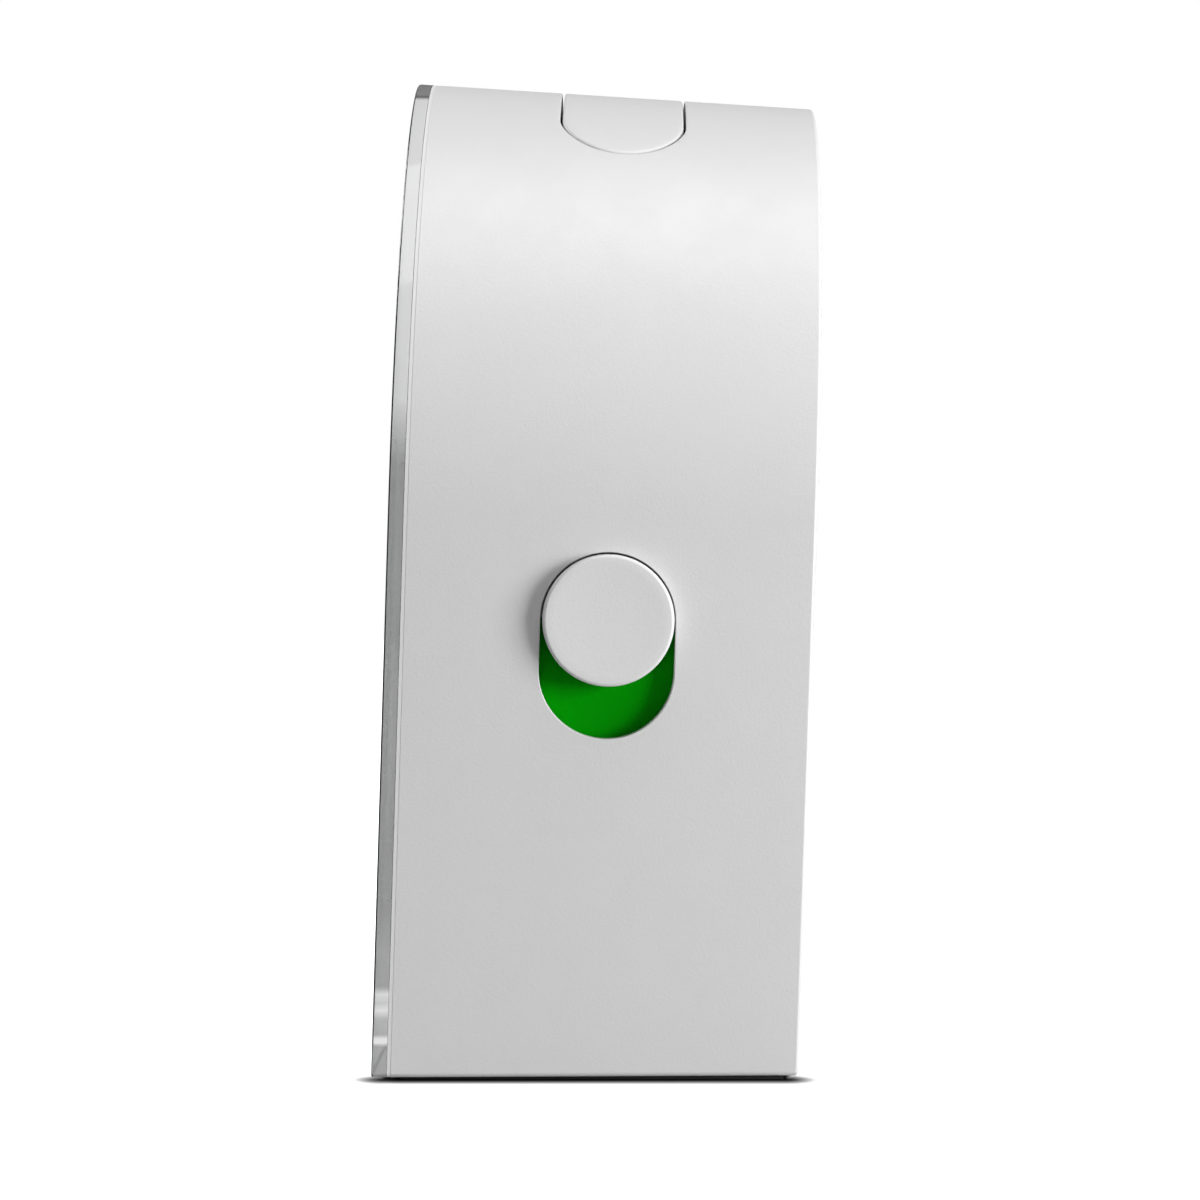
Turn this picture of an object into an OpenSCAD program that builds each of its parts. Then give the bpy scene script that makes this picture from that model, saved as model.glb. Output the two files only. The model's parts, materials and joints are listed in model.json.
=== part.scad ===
// Arch-topped bedside alarm clock.
// Everything is drawn in the case's own frame: x across the front, y back from the lens, z up along
// the lens from its lower edge. lean_back() then tilts the clock and stands it on its rubber pad, with
// the origin on the table under the middle of the base, the lens towards -Y and +Z up.

/* [Case] */
// Width across the front
case_w = 75; // [74:0.5:77]
// Height to the crown, measured along the lens
case_h = 84; // [83:0.5:86]
// Depth from the lens to the back edge
case_d = 35.1; // [35:0.1:36]
// Backward lean, degrees
lean = 1.83; // [1:0.01:2.5]
// Draft of the crown and the sides towards the back, degrees
draft = 1.82; // [1.5:0.01:1.9]
// Wall thickness
wall = 2; // [1.9:0.05:2.1]
// Width of the white border behind the lens
bezel = 6; // [5.8:0.1:6.2]
// Height of the blank panel below the dial
chin = 13; // [12:0.5:14]
// Height of the rubber pad under the base
pad_h = 0.4; // [0.3:0.05:0.6]

/* [Lens and dial] */
// Thickness of the clear lens
lens_t = 1.3; // [1.2:0.05:1.4]
// Thickness of the tape between the lens and the case
tape_t = 0.3; // [0.2:0.05:0.35]
// Thickness of the dial plate
dial_t = 0.8; // [0.6:0.05:0.8]
// Length of the minute hand
minute_len = 24; // [20:0.5:26]
// Length of the hour hand
hour_len = 16.5; // [14:0.5:18]
// Length of the second hand
second_len = 25.5; // [20:0.5:27]
// Length of the alarm hand
alarm_len = 13; // [10:0.5:14]

/* [Controls] */
// Width of the opening for the snooze button
snooze_w = 10.9; // [10.6:0.1:11]
// Half of the distance between the opening's end centres
snooze_half = 15.06; // [14.5:0.02:15.5]
// Depth of both controls behind the lens
control_v = 18.25; // [18:0.05:18.5]
// Gap round the snooze button
snooze_gap = 0.22; // [0.18:0.02:0.26]
// Travel of the snooze button
snooze_travel = 0.8; // [0.6:0.1:0.8]
// Diameter of the alarm switch's knob
knob_d = 10.88; // [10.8:0.02:10.9]
// Width of the slot that it slides in
slot_w = 11.11; // [11.08:0.01:11.2]
// Height of the knob's centre when the alarm is on
knob_u = 38.14; // [38:0.02:38.3]
// Travel of the knob
knob_travel = 4.19; // [4:0.01:4.2]
// How far the knob stands out of the side
knob_proud = 1.25; // [1:0.05:1.5]

/* [Hidden] */
$fn = 64;

far = 60;
eps = 0.05;

// Case profile
centre_u = case_h - case_w / 2;
seat_v = lens_t + tape_t;
front_edge = 0.4;
rear_edge = 0.8;
ledge_v = seat_v + 1.5;
base_mid = case_d / cos(lean) / 2;
function arch_r(v) = case_w / 2 - v * tan(draft);
function base_u(v) = v * tan(lean);

// Stack behind the bezel, as distances back from the lens
ring_v0 = ledge_v + 0.1;
ring_v1 = 7.6;
dial_v = 7.7;
chassis_v0 = dial_v + dial_t + 0.1;
chassis_v1 = chassis_v0 + 1.5;
plate_inset = wall + 0.4;
plate_floor = 3.4;
ring_floor = 8.6;
ring_slope = 3;
cover_v0 = case_d - 4.5;
cover_v1 = case_d - 2.7;

// Chassis bosses on the back of the bezel, and cover posts along the walls: [x, u]
boss_r = 1.7;
boss_at = [[25.6, 68], [18, 6]];
post_r = 2.2;
post_at = [[28.5, 59.8], [31.2, 8]];
post_pilot = 9;

// Movement case
mov_w = 39;
mov_h = 40;
mov_v0 = chassis_v1;
mov_split = 16;
mov_v1 = 23.9;
mov_wall = 1;
mov_pillar_r = 1.8;
mov_pillar = [16.5, 17];
bridge_v0 = 15.4;
pivot_r = 0.3;
pivot_end = 23.4;
arbor_r = 0.8;
clear = 0.05;

// Coaxial tubes: outer radii, each with running clearance inside the next
second_r = 0.5;
minute_r = 1.1;
hour_r = 1.8;
alarm_r = 2.5;
run = 0.06;

// Train: axes as [x, u from the dial's centre]
function polar(r, a) = [r * cos(a), r * sin(a)];
third_a = 90;
third_at = polar(7.48, third_a);
inter_a = 150;
inter_at = polar(7.2, inter_a);
rotor_a = 250;
rotor_at = inter_at + polar(7, rotor_a);
motion_a = 30;
motion_at = polar(8.4, motion_a);
alarm_a = 270;
alarm_at = polar(8.6, alarm_a);

// Tooth counts
second_z = 40;
second_pinion_z = 8;
inter_z = 48;
inter_pinion_z = 8;
rotor_z = 8;
third_z = 60;
third_pinion_z = 8;
centre_z = 64;
cannon_z = 12;
motion_z = 36;
motion_pinion_z = 10;
hour_z = 40;
alarm_z = 40;
alarm_pinion_z = 12;

// Hands at rest, degrees clockwise from twelve: 10:09:35, alarm at half past six
minute_turn = 57.5;
hour_turn = 304.8;
second_turn = 210;
alarm_turn = 195;

// Battery bay
bay_half = 27.4;
bay_u = [6.2, 20.6];
bay_v0 = 15.8;
bay_wall = 1.2;
cell_r = 7;
cell_v = 22.9;
cell_u = 13.4;
cell_len = 49.3;
door_axis = [cover_v1 - 0.75, 6.2];
door_t = 1.5;
door_top = 20.9;
door_half = 27.1;

// Knobs at the back
time_knob_r = 5.5;
alarm_knob_r = 4.5;
knob_v0 = cover_v1 + 0.4;
knob_v1 = case_d - 0.2;

// Speaker
speaker_u = 66;
speaker_r = 10.5;

white = [0.93, 0.93, 0.92];
steel = [0.75, 0.76, 0.78];
brass = [0.8, 0.66, 0.36];
green = [0, 0.5, 0.02];
black = [0.08, 0.08, 0.09];
board_green = [0.06, 0.33, 0.2];

// ---------------------------------------------------------------- helpers

// Case frame to table frame
module lean_back() translate([0, -base_mid, pad_h]) rotate([-lean, 0, 0]) children();

// Draws towards +y from a point given as [x, u] and a depth v
module back_from(at, v) translate([at[0], v, at[1]]) rotate([-90, 0, 0]) children();

// The same, measured from the dial's centre
module on_train(at, v) back_from([at[0], centre_u + at[1]], v) children();

module rod(at, v0, v1, r) back_from(at, v0) cylinder(h = v1 - v0, r = r);

module train_rod(at, v0, v1, r) on_train(at, v0) cylinder(h = v1 - v0, r = r);

module slab(x0, x1, v0, v1, u0, u1) translate([x0, v0, u0]) cube([x1 - x0, v1 - v0, u1 - u0]);

module both_sides() {
    children();
    mirror([1, 0, 0]) children();
}

// Arch-shaped slice of the case between two depths, set in from its outside by i0 and i1, with its
// floor at f0 and f1
module arch(v0, v1, i0, i1, f0, f1) {
    r0 = arch_r(v0) - i0;
    r1 = arch_r(v1) - i1;
    intersection() {
        back_from([0, centre_u], v0) cylinder(h = v1 - v0, r1 = r0, r2 = r1, $fn = 180);
        slab(-far, far, v0 - 1, v1 + 1, centre_u, centre_u + far);
    }
    intersection() {
        linear_extrude(centre_u) polygon([[-r0, v0], [r0, v0], [r1, v1], [-r1, v1]]);
        rotate([90, 0, 90]) translate([0, 0, -far]) linear_extrude(2 * far)
            polygon([[v0, f0], [v1, f1], [v1, centre_u], [v0, centre_u]]);
    }
}

// Slice that keeps the same distance from the outside all round
module shell_slice(v0, v1, i0, i1) arch(v0, v1, i0, i1, base_u(v0) + i0, base_u(v1) + i1);

// Slice with a level floor
module plate_slice(v0, v1, inset, floor_u) arch(v0, v1, inset, inset, floor_u, floor_u);

// Upright round-ended column under the snooze opening
module snooze_column(r, u0, u1) {
    for (x = [-snooze_half, snooze_half])
        translate([x, control_v, u0]) cylinder(h = u1 - u0, r = r);
    slab(-snooze_half, snooze_half, control_v - r, control_v + r, u0, u1);
}

// Frame on the right side: x outwards, y back along the side, z up
module on_side() translate([arch_r(control_v), control_v, 0]) rotate([0, 0, draft]) children();

module side_rod(y, z, x0, x1, r) translate([x0, y, z]) rotate([0, 90, 0]) cylinder(h = x1 - x0, r = r);

// Wheel or pinion with flat-topped teeth; one tooth points at `phase`, degrees up from +x
module gear(z, m, thick, phase) {
    pitch = 360 / z;
    root = z * m / 2 - m;
    tip = z * m / 2 + 0.75 * m;
    tooth = [[-0.3, root], [-0.12, tip], [0.12, tip], [0.3, root]];
    linear_extrude(thick)
        polygon([for (i = [0 : z - 1]) for (p = tooth)
            polar(p[1], -(phase + (i + p[0]) * pitch))]);
}

// Phase of a gear at direction `a` from one that has a tooth pointing at it
function meshing(a, z) = a + 180 + 180 / z;

function tooth_size(distance, z1, z2) = 2 * distance / (z1 + z2);

// Flat hand that points `turn` degrees clockwise from twelve
module hand(v, thick, turn, length, tail, base_half, tip_half, hub_r, bore_r)
    back_from([0, centre_u], v) difference() {
        union() {
            cylinder(h = thick, r = hub_r);
            rotate(turn) linear_extrude(thick)
                polygon([[-base_half, tail], [base_half, tail], [tip_half, -length], [-tip_half, -length]]);
        }
        translate([0, 0, -1]) cylinder(h = thick + 2, r = bore_r);
    }

module screw(at, head_v, shank_r, length, head_r, head_h) back_from(at, head_v) {
    translate([0, 0, -length]) cylinder(h = length, r = shank_r);
    difference() {
        cylinder(h = head_h, r = head_r);
        for (a = [0, 90])
            rotate(a) translate([-head_r * 0.6, -0.2, head_h * 0.5]) cube([head_r * 1.2, 0.4, head_h]);
    }
}

// Round wire along a function's points, with `sides` sides
function unit(a) = a / norm(a);
function across(d) = unit(cross(d, abs(d[2]) < 0.9 ? [0, 0, 1] : [1, 0, 0]));
module wire(p, r, sides = 8) {
    n = len(p);
    ahead = [for (i = [0 : n - 1]) unit(p[min(i + 1, n - 1)] - p[max(i - 1, 0)])];
    ring = [for (i = [0 : n - 1]) let (a = across(ahead[i]), b = cross(ahead[i], a))
        for (k = [0 : sides - 1]) p[i] + r * (a * cos(360 * k / sides) + b * sin(360 * k / sides))];
    skin = [for (i = [0 : n - 2]) for (k = [0 : sides - 1]) let (j = (k + 1) % sides)
        for (t = [[i * sides + k, (i + 1) * sides + k, i * sides + j],
                  [i * sides + j, (i + 1) * sides + k, (i + 1) * sides + j]]) t];
    polyhedron(ring, concat(skin, [[for (k = [0 : sides - 1]) k]],
        [[for (k = [sides - 1 : -1 : 0]) (n - 1) * sides + k]]));
}

// Points of a coil that climbs along z
function coil_points(r0, r1, height, turns, steps) =
    [for (i = [0 : turns * steps]) let (t = i / (turns * steps), a = 360 * i / steps)
        [(r0 + (r1 - r0) * t) * cos(a), (r0 + (r1 - r0) * t) * sin(a), height * t]];

// Points of a smooth lead through four control points
function lead_points(a, b, c, d, n) = [for (i = [0 : n]) let (t = i / n, s = 1 - t)
    s * s * s * a + 3 * s * s * t * b + 3 * s * t * t * c + t * t * t * d];

// ---------------------------------------------------------------- case

module cover_post(at) {
    rod(at, chassis_v1 + 0.1, cover_v0, post_r);
}

module post_ribs() both_sides() {
    slab(post_at[1][0], arch_r(case_d) - wall / 2, chassis_v1 + 0.1, cover_v0,
         post_at[1][1] - 0.9, post_at[1][1] + 0.9);
    slab(post_at[0][0], arch_r(case_d) - wall - 1.5, chassis_v1 + 0.1, cover_v0,
         post_at[0][1] - 0.9, post_at[0][1] + 0.9);
}

module slider_cut() on_side() {
    for (z = [knob_u, knob_u - knob_travel]) side_rod(0, z, -4, 2, slot_w / 2);
    translate([-4, -slot_w / 2, knob_u - knob_travel]) cube([6, slot_w, knob_travel]);
    translate([-4, -6.5, 23]) cube([2.75, 13, 26.2]);
}

module pad_form(grow)
    translate([-35.6 - grow, -15.3 - grow, 0]) cube([71.2 + 2 * grow, 31.7 + 2 * grow, pad_h + 0.6]);

module housing() color(white) difference() {
    lean_back() difference() {
        union() {
            difference() {
                union() {
                    shell_slice(seat_v, seat_v + front_edge, front_edge, 0);
                    shell_slice(seat_v + front_edge, case_d - rear_edge, 0, 0);
                    shell_slice(case_d - rear_edge, case_d, 0, rear_edge);
                }
                shell_slice(ledge_v, case_d + 1, wall, wall);
                plate_slice(seat_v - 1, ledge_v + 1, bezel, chin);
            }
            both_sides() {
                for (at = post_at) cover_post(at);
                for (at = boss_at) rod(at, ledge_v - eps, ring_v1, boss_r);
            }
            post_ribs();
        }
        snooze_column(snooze_w / 2, centre_u + 20, centre_u + far);
        slider_cut();
        both_sides() {
            for (at = post_at) rod(at, cover_v0 - post_pilot, cover_v0 + 1, 0.95);
            for (at = boss_at) rod(at, ring_v0 + 1, ring_v1 + 1, 0.75);
        }
    }
    pad_form(0);
}

module lens() color([0.85, 0.92, 0.95], 0.4) lean_back() {
    shell_slice(0, 0.2, 0.2, 0);
    shell_slice(0.2, lens_t, 0, 0);
}

module lens_tape() color([0.95, 0.95, 0.95]) lean_back() difference() {
    shell_slice(lens_t, seat_v, 0.15, 0.15);
    plate_slice(lens_t - 1, seat_v + 1, bezel - 1.5, chin - 1.5);
}

module light_ring() color([0.97, 0.97, 0.95]) lean_back() difference() {
    plate_slice(ring_v0, ring_v1, plate_inset, ring_floor);
    arch(ring_v0 - eps, ring_v1 + eps, bezel, bezel + ring_slope, chin, chin + ring_slope);
    both_sides() rod(boss_at[0], ring_v0 - 1, ring_v1 + 1, boss_r + 0.3);
}

module dial() color([0.98, 0.98, 0.97]) lean_back() difference() {
    plate_slice(dial_v, dial_v + dial_t, plate_inset, plate_floor);
    rod([0, centre_u], dial_v - 1, dial_v + 2, alarm_r + 0.4);
    both_sides() for (at = boss_at) rod(at, dial_v - 1, dial_v + 2, 1.1);
}

module chassis() color([0.2, 0.2, 0.21]) lean_back() difference() {
    plate_slice(chassis_v0, chassis_v1, plate_inset, plate_floor);
    rod([0, centre_u], chassis_v0 - 1, chassis_v1 + 1, alarm_r + 0.4);
    both_sides() {
        for (at = boss_at) rod(at, chassis_v0 - 1, chassis_v1 + 1, 1.1);
        rod([21.9, 62], chassis_v0 - 1, chassis_v1 + 1, 0.75);
        for (s = [-1, 1])
            rod([mov_pillar[0], centre_u + s * mov_pillar[1]], chassis_v0 - 1, chassis_v1 + 1, 0.8);
        slab(22.5, 31, chassis_v0 - 1, chassis_v1 + 1, 14, 30);
    }
}

module base_pad() color(black) pad_form(-0.05);

module rear_cover() color(white) lean_back() difference() {
    union() {
        shell_slice(cover_v0, cover_v1, wall + 0.25, wall + 0.25);
        slab(-bay_half - bay_wall, bay_half + bay_wall, bay_v0 - bay_wall, cover_v0 + eps,
             bay_u[0] - bay_wall, bay_u[1] + bay_wall);
        both_sides() for (u = [31, 51]) rod([15, u], cover_v0 - 4, cover_v0 + eps, 1.8);
        back_from([0, speaker_u], cover_v0 - 1.2) difference() {
            cylinder(h = 1.2 + eps, r = speaker_r + 1.2);
            translate([0, 0, -1]) cylinder(h = 2.2, r = speaker_r + 0.15);
        }
    }
    slab(-bay_half, bay_half, bay_v0, cover_v0 + eps, bay_u[0], bay_u[1]);
    slab(-bay_half, bay_half, cover_v0 - 1, cover_v1 + 1, 5.2, 21.2);
    both_sides() {
        rod([bay_half - 3, bay_u[1]], bay_v0 + 1, bay_v0 + 4, 0.7);
        side_rod_at([door_axis[0], door_axis[1]], bay_half - 1, bay_half + 1.1, 0.56);
        for (at = post_at) {
            rod(at, cover_v0 - 1, cover_v1 + 1, 1.15);
            rod(at, cover_v1 - 1.2, cover_v1 + 1, 2.1);
        }
    }
    back_from([0, 21.2], cover_v1 - 0.9) cylinder(h = 2, r = 5);
    on_train(motion_at, cover_v0 - 1) cylinder(h = 4, r = arbor_r + 0.5);
    on_train(alarm_at, cover_v0 - 1) cylinder(h = 4, r = arbor_r + 0.5);
    back_from([0, speaker_u], cover_v0 - 1) grille_holes();
}

// Rod along x through [v, u]
module side_rod_at(at, x0, x1, r) translate([x0, at[0], at[1]]) rotate([0, 90, 0]) cylinder(h = x1 - x0, r = r);

module grille_holes() {
    cylinder(h = 5, r = 0.7);
    for (ring = [1, 2]) for (i = [0 : 6 * ring - 1])
        rotate(360 * i / (6 * ring)) translate([ring * 3.2, 0, 0]) cylinder(h = 5, r = 0.7);
}

module battery_door() color(white) lean_back() {
    difference() {
        union() {
            slab(-door_half, door_half, cover_v1 - door_t, cover_v1, door_axis[1], door_top);
            side_rod_at(door_axis, -door_half, door_half, door_t / 2);
        }
        back_from([0, door_top + 0.6], cover_v1 - 0.9) cylinder(h = 2, r = 5);
    }
    side_rod_at(door_axis, -door_half - 1.1, door_half + 1.1, 0.5);
}

module cover_screws() color(steel) lean_back() both_sides()
    for (at = post_at) screw(at, cover_v1 - 1.15, 0.9, 8, 1.9, 1.1);

module chassis_screws() color(steel) lean_back() both_sides()
    for (at = boss_at) screw(at, chassis_v1, 0.7, 5, 1.4, 0.9);

// ---------------------------------------------------------------- snooze button

snooze_peg_x = 12;
snooze_seat_u = 74.2;
bracket_u = [67, 68.2];

module snooze_button() color(white) lean_back() {
    difference() {
        intersection() {
            snooze_column(snooze_w / 2 - snooze_gap, centre_u + 20, centre_u + far);
            shell_slice(control_v - 8, control_v + 8, 0, 0);
        }
        shell_slice(control_v - 9, control_v + 9, 3.5, 3.5);
    }
    difference() {
        intersection() {
            snooze_column(snooze_w / 2 + 1.4, centre_u + 20, centre_u + far);
            shell_slice(control_v - 8, control_v + 8, wall + 0.3, wall + 0.3);
        }
        shell_slice(control_v - 9, control_v + 9, 3.5, 3.5);
    }
    for (x = [-snooze_peg_x, snooze_peg_x]) translate([x, control_v, 0]) {
        translate([0, 0, snooze_seat_u]) cylinder(h = 4.5, r = 3.3);
        translate([0, 0, 67.6]) cylinder(h = 8, r = 1.5);
    }
    translate([0, control_v, 73.1]) cylinder(h = 8, r = 1.5);
}

module snooze_bracket() color([0.85, 0.85, 0.84]) lean_back() difference() {
    union() {
        slab(-23.6, 23.6, 12.4, 24, bracket_u[0], bracket_u[1]);
        both_sides() slab(20.2, 23.6, chassis_v1, 12.4 + eps, 60, bracket_u[1]);
        for (x = [-snooze_peg_x, snooze_peg_x])
            translate([x, control_v, bracket_u[0]]) cylinder(h = 5, r = 2.4);
    }
    for (x = [-snooze_peg_x, snooze_peg_x])
        translate([x, control_v, bracket_u[0] - 1]) cylinder(h = 8, r = 1.57);
    both_sides() rod([21.9, 62], chassis_v1 - 1, 14, 0.9);
}

module bracket_screws() color(steel) lean_back() both_sides()
    screw([21.9, 62], 12.4 + eps, 0.7, 3.6, 1.4, 0.9);

module snooze_springs() color(steel) lean_back()
    for (x = [-snooze_peg_x, snooze_peg_x])
        translate([x, control_v, bracket_u[1] + 0.25])
            wire(coil_points(2.9, 2.9, snooze_seat_u - bracket_u[1] - 0.5, 4, 16), 0.2, 6);

module snooze_switch() color(black) lean_back() difference() {
    slab(-3, 3, control_v - 3, control_v + 3, bracket_u[1], bracket_u[1] + 3.5);
    translate([0, control_v, bracket_u[1] + 0.8]) cylinder(h = 4, r = 1.8);
}

module switch_stem() color([0.3, 0.3, 0.3]) lean_back()
    translate([0, control_v, 70]) cylinder(h = 3, r = 1.7);

// ---------------------------------------------------------------- alarm switch

carrier_x = [-2.4, -1.5];
flag_t = 0.2;
guide_x = [-4, -3];

module slider_knob() color(white) lean_back() on_side() {
    side_rod(0, knob_u, carrier_x[1], knob_proud - 0.25, knob_d / 2);
    translate([knob_proud - 0.25, 0, knob_u]) rotate([0, 90, 0])
        cylinder(h = 0.25, r1 = knob_d / 2, r2 = knob_d / 2 - 0.25);
    side_rod(0, knob_u, carrier_x[0], carrier_x[1], 2);
    side_rod(0, knob_u, -5.6, carrier_x[0], 1.2);
}

module slider_carrier() color([0.9, 0.9, 0.9]) lean_back() on_side() difference() {
    union() {
        translate([carrier_x[0], -6.2, 27.8]) cube([0.7, 12.4, 20.7]);
        translate([carrier_x[0], -6.2, knob_u]) cube([0.9, 12.4, 48.5 - knob_u]);
    }
    side_rod(0, knob_u, -5, 5, 2);
}

module alarm_flag() color(green) lean_back() on_side() difference() {
    translate([carrier_x[1] - flag_t, -6.2, 27.8]) cube([flag_t, 12.4, knob_u - 27.8]);
    side_rod(0, knob_u, -5, 5, 2);
}

module slider_guide() color([0.85, 0.85, 0.84]) lean_back() intersection() {
    on_side() difference() {
        union() {
            translate([guide_x[0], -7.8, 21]) cube([1, 15.6, 30]);
            for (y = [-7.8, 6.7]) translate([guide_x[0], y, 21]) cube([2 - eps, 1.1, 30]);
            for (z = [21, 49.5]) translate([guide_x[0], -7.8, z]) cube([2 - eps, 15.6, 1.5]);
            for (z = [25.5, 46.5]) for (y = [-5, 5]) side_rod(y, z, -9.5, guide_x[0] + eps, 1.3);
        }
        translate([-5, -1.8, 31]) cube([3, 3.6, 9.8]);
    }
    shell_slice(ledge_v, case_d, wall + eps, wall + eps);
}

module detent_spring() color(steel) lean_back() on_side() {
    translate([guide_x[1], 3, 24]) cube([0.2, 2, 24]);
    intersection() {
        translate([guide_x[1] - 0.2, 3, 44]) rotate([-90, 0, 0]) cylinder(h = 2, r = 0.75);
        translate([guide_x[1] + 0.1, 2, 40]) cube([2, 4, 8]);
    }
}

module slide_switch() color(steel) lean_back() on_side() difference() {
    translate([-9.5, -3, 29.5]) cube([3.5, 6, 13]);
    translate([-8, -1.8, 31.5]) cube([3, 3.6, 9]);
}

module switch_lever() color(black) lean_back() on_side() difference() {
    translate([-7.5, -1.5, knob_u - 1.5]) cube([3.2, 3, 3]);
    side_rod(0, knob_u, -5.6, -4, 1.2);
}

module switch_board() color(board_green) lean_back() on_side()
    translate([-10.5, -7, 23.5]) cube([1, 14, 25]);

// ---------------------------------------------------------------- electronics

module led_board() color(board_green) lean_back() slab(-15, 15, 3.6, 7.2, 5.4, 6.2);

module leds() color([0.95, 0.9, 0.6]) lean_back()
    for (x = [-11, 0, 11]) slab(x - 1.4, x + 1.4, 4.6, 6.2, 6.2, 7.4);

module circuit_board() color(board_green) lean_back() difference() {
    slab(-18, 18, 25.6, 26.6, 28, 54);
    on_train(motion_at, 24) cylinder(h = 4, r = 2);
    on_train(alarm_at, 24) cylinder(h = 4, r = 2);
}

module board_parts() color(black) lean_back() {
    slab(-13, -6, 26.6, 28.2, 41.5, 48.5);
    slab(9, 13, 26.6, 27.8, 33, 37);
    for (x = [-14, -11, -8]) slab(x - 0.8, x + 0.8, 26.6, 27.4, 36, 37);
    rod([11, 41.5], 26.6, 30.2, 2);
}

module speaker() color(black) lean_back() {
    rod([0, speaker_u], 27, cover_v0 - 0.2, speaker_r);
    rod([0, speaker_u], 25, 27, 5);
}

module battery() color([0.2, 0.45, 0.3]) lean_back() {
    side_rod_at([cell_v, cell_u], -cell_len / 2, cell_len / 2, cell_r);
    side_rod_at([cell_v, cell_u], cell_len / 2, cell_len / 2 + 1.2, 2.6);
}

module plus_contact() color(steel) lean_back() {
    slab(bay_half - 0.4, bay_half, cell_v - 4, cell_v + 4, cell_u - 4, bay_u[1]);
    side_rod_at([cell_v, cell_u], cell_len / 2 + 1.2, bay_half - 0.4, 1.8);
}

module minus_contact() color(steel) lean_back() {
    slab(-bay_half, -bay_half + 0.4, cell_v - 4, cell_v + 4, cell_u - 4, bay_u[1]);
    translate([-bay_half + 0.7, cell_v, cell_u]) rotate([0, 90, 0])
        wire(coil_points(4, 2, bay_half - cell_len / 2 - 1, 3, 16), 0.3, 6);
}

module battery_leads() lean_back() {
    color([0.7, 0.05, 0.05]) wire(lead_points([24.4, 18.3, 22], [24.4, 18.5, 27], [20.6, 27.8, 26],
                                              [17, 27.1, 31], 14), 0.5);
    color(black) wire(lead_points([-24.4, 18.3, 22], [-24.4, 18.5, 27], [-20.6, 27.8, 26],
                                  [-17, 27.1, 31], 14), 0.5);
}

module speaker_leads() color(black) lean_back() for (x = [-1, 1])
    wire(lead_points([x * 2, 26.4, 60.4], [x * 2, 26, 58], [x * 4, 25, 56],
                     [x * 5, 25.1, 52], 12), 0.4);

// ---------------------------------------------------------------- quartz movement

module mov_box(v0, v1, inset)
    slab(-mov_w / 2 + inset, mov_w / 2 - inset, v0, v1,
         centre_u - mov_h / 2 + inset, centre_u + mov_h / 2 - inset);

module at_pillars() both_sides() for (s = [-1, 1]) translate([mov_pillar[0], 0, centre_u + s * mov_pillar[1]])
    children();

module movement_front_case() color(black) lean_back() difference() {
    union() {
        difference() {
            mov_box(mov_v0, mov_split, 0);
            mov_box(mov_v0 + mov_wall, mov_split + 1, mov_wall);
        }
        at_pillars() rod([0, 0], mov_v0 + mov_wall / 2, bridge_v0, mov_pillar_r);
        train_rod(motion_at, mov_v0 + mov_wall / 2, 12.4, 1.3);
    }
    at_pillars() rod([0, 0], mov_v0 - 1, mov_v1, 0.9);
    rod([0, centre_u], mov_v0 - 1, mov_v0 + 2, alarm_r + run);
    train_rod(motion_at, 11.4, 13, 0.5 + clear);
    train_rod(alarm_at, mov_v0 + 0.4, 13, 0.5 + clear);
}

module movement_rear_case() color([0.9, 0.9, 0.88]) lean_back() difference() {
    union() {
        difference() {
            mov_box(mov_split, mov_v1, 0);
            mov_box(mov_split - 1, mov_v1 - mov_wall, mov_wall);
        }
        at_pillars() rod([0, 0], mov_split, mov_v1 - mov_wall / 2, mov_pillar_r);
    }
    at_pillars() rod([0, 0], mov_split - 1, mov_v1 + 1, 0.9);
    for (at = [motion_at, alarm_at]) train_rod(at, mov_v1 - 2, mov_v1 + 1, arbor_r + run);
    for (at = [[0, 0], third_at, inter_at, rotor_at])
        train_rod(at, mov_v1 - 2, pivot_end + 0.1, pivot_r + clear);
}

module movement_screws() color(steel) lean_back()
    at_pillars() screw([0, 0], mov_v1, 0.75, 14.4, 1.5, 1.1);

module train_bridge() color(brass) lean_back() difference() {
    mov_box(bridge_v0, mov_split, mov_wall + 0.15);
    at_pillars() rod([0, 0], bridge_v0 - 1, mov_split + 1, 0.9);
    train_rod([0, 0], bridge_v0 - 1, mov_split + 1, minute_r + run);
    for (at = [third_at, inter_at, rotor_at])
        train_rod(at, bridge_v0 - 1, mov_split + 1, pivot_r + clear);
    for (at = [motion_at, alarm_at]) train_rod(at, bridge_v0 - 1, mov_split + 1, arbor_r + run);
}

module movement_board() color(board_green) lean_back()
    slab(-14, 14, 21.2, 22, centre_u + 9.6, centre_u + 18);

module quartz_crystal() color(steel) lean_back()
    side_rod_at([20.1, centre_u + 16.2], -4, 4, 1.05);

coil_u = centre_u - 15.2;
core_v = 18.9;

module coil() color([0.72, 0.35, 0.15]) lean_back() difference() {
    side_rod_at([core_v + 0.5, coil_u], -8.4, 8.4, 2.7);
    slab(-9, 9, core_v - 0.05, core_v + 1.05, coil_u - 1.55, coil_u + 1.55);
}

module coil_core() color(steel) lean_back()
    slab(-12.5, 12.5, core_v, core_v + 1, coil_u - 1.5, coil_u + 1.5);

module stator() color(steel) lean_back() difference() {
    union() {
        train_rod(rotor_at, core_v - 1, core_v, 4.2);
        slab(-12.5, -10.2, core_v - 1, core_v, coil_u - 1.5, centre_u + rotor_at[1]);
        slab(-8.8, -6, core_v - 1, core_v, centre_u - 12, centre_u + rotor_at[1]);
        slab(-8.8, 12.5, core_v - 1, core_v, centre_u - 12, centre_u - 10);
        slab(9.6, 12.5, core_v - 1, core_v, coil_u - 1.5, centre_u - 10);
    }
    train_rod(rotor_at, core_v - 2, core_v + 1, 2.8);
}

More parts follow.
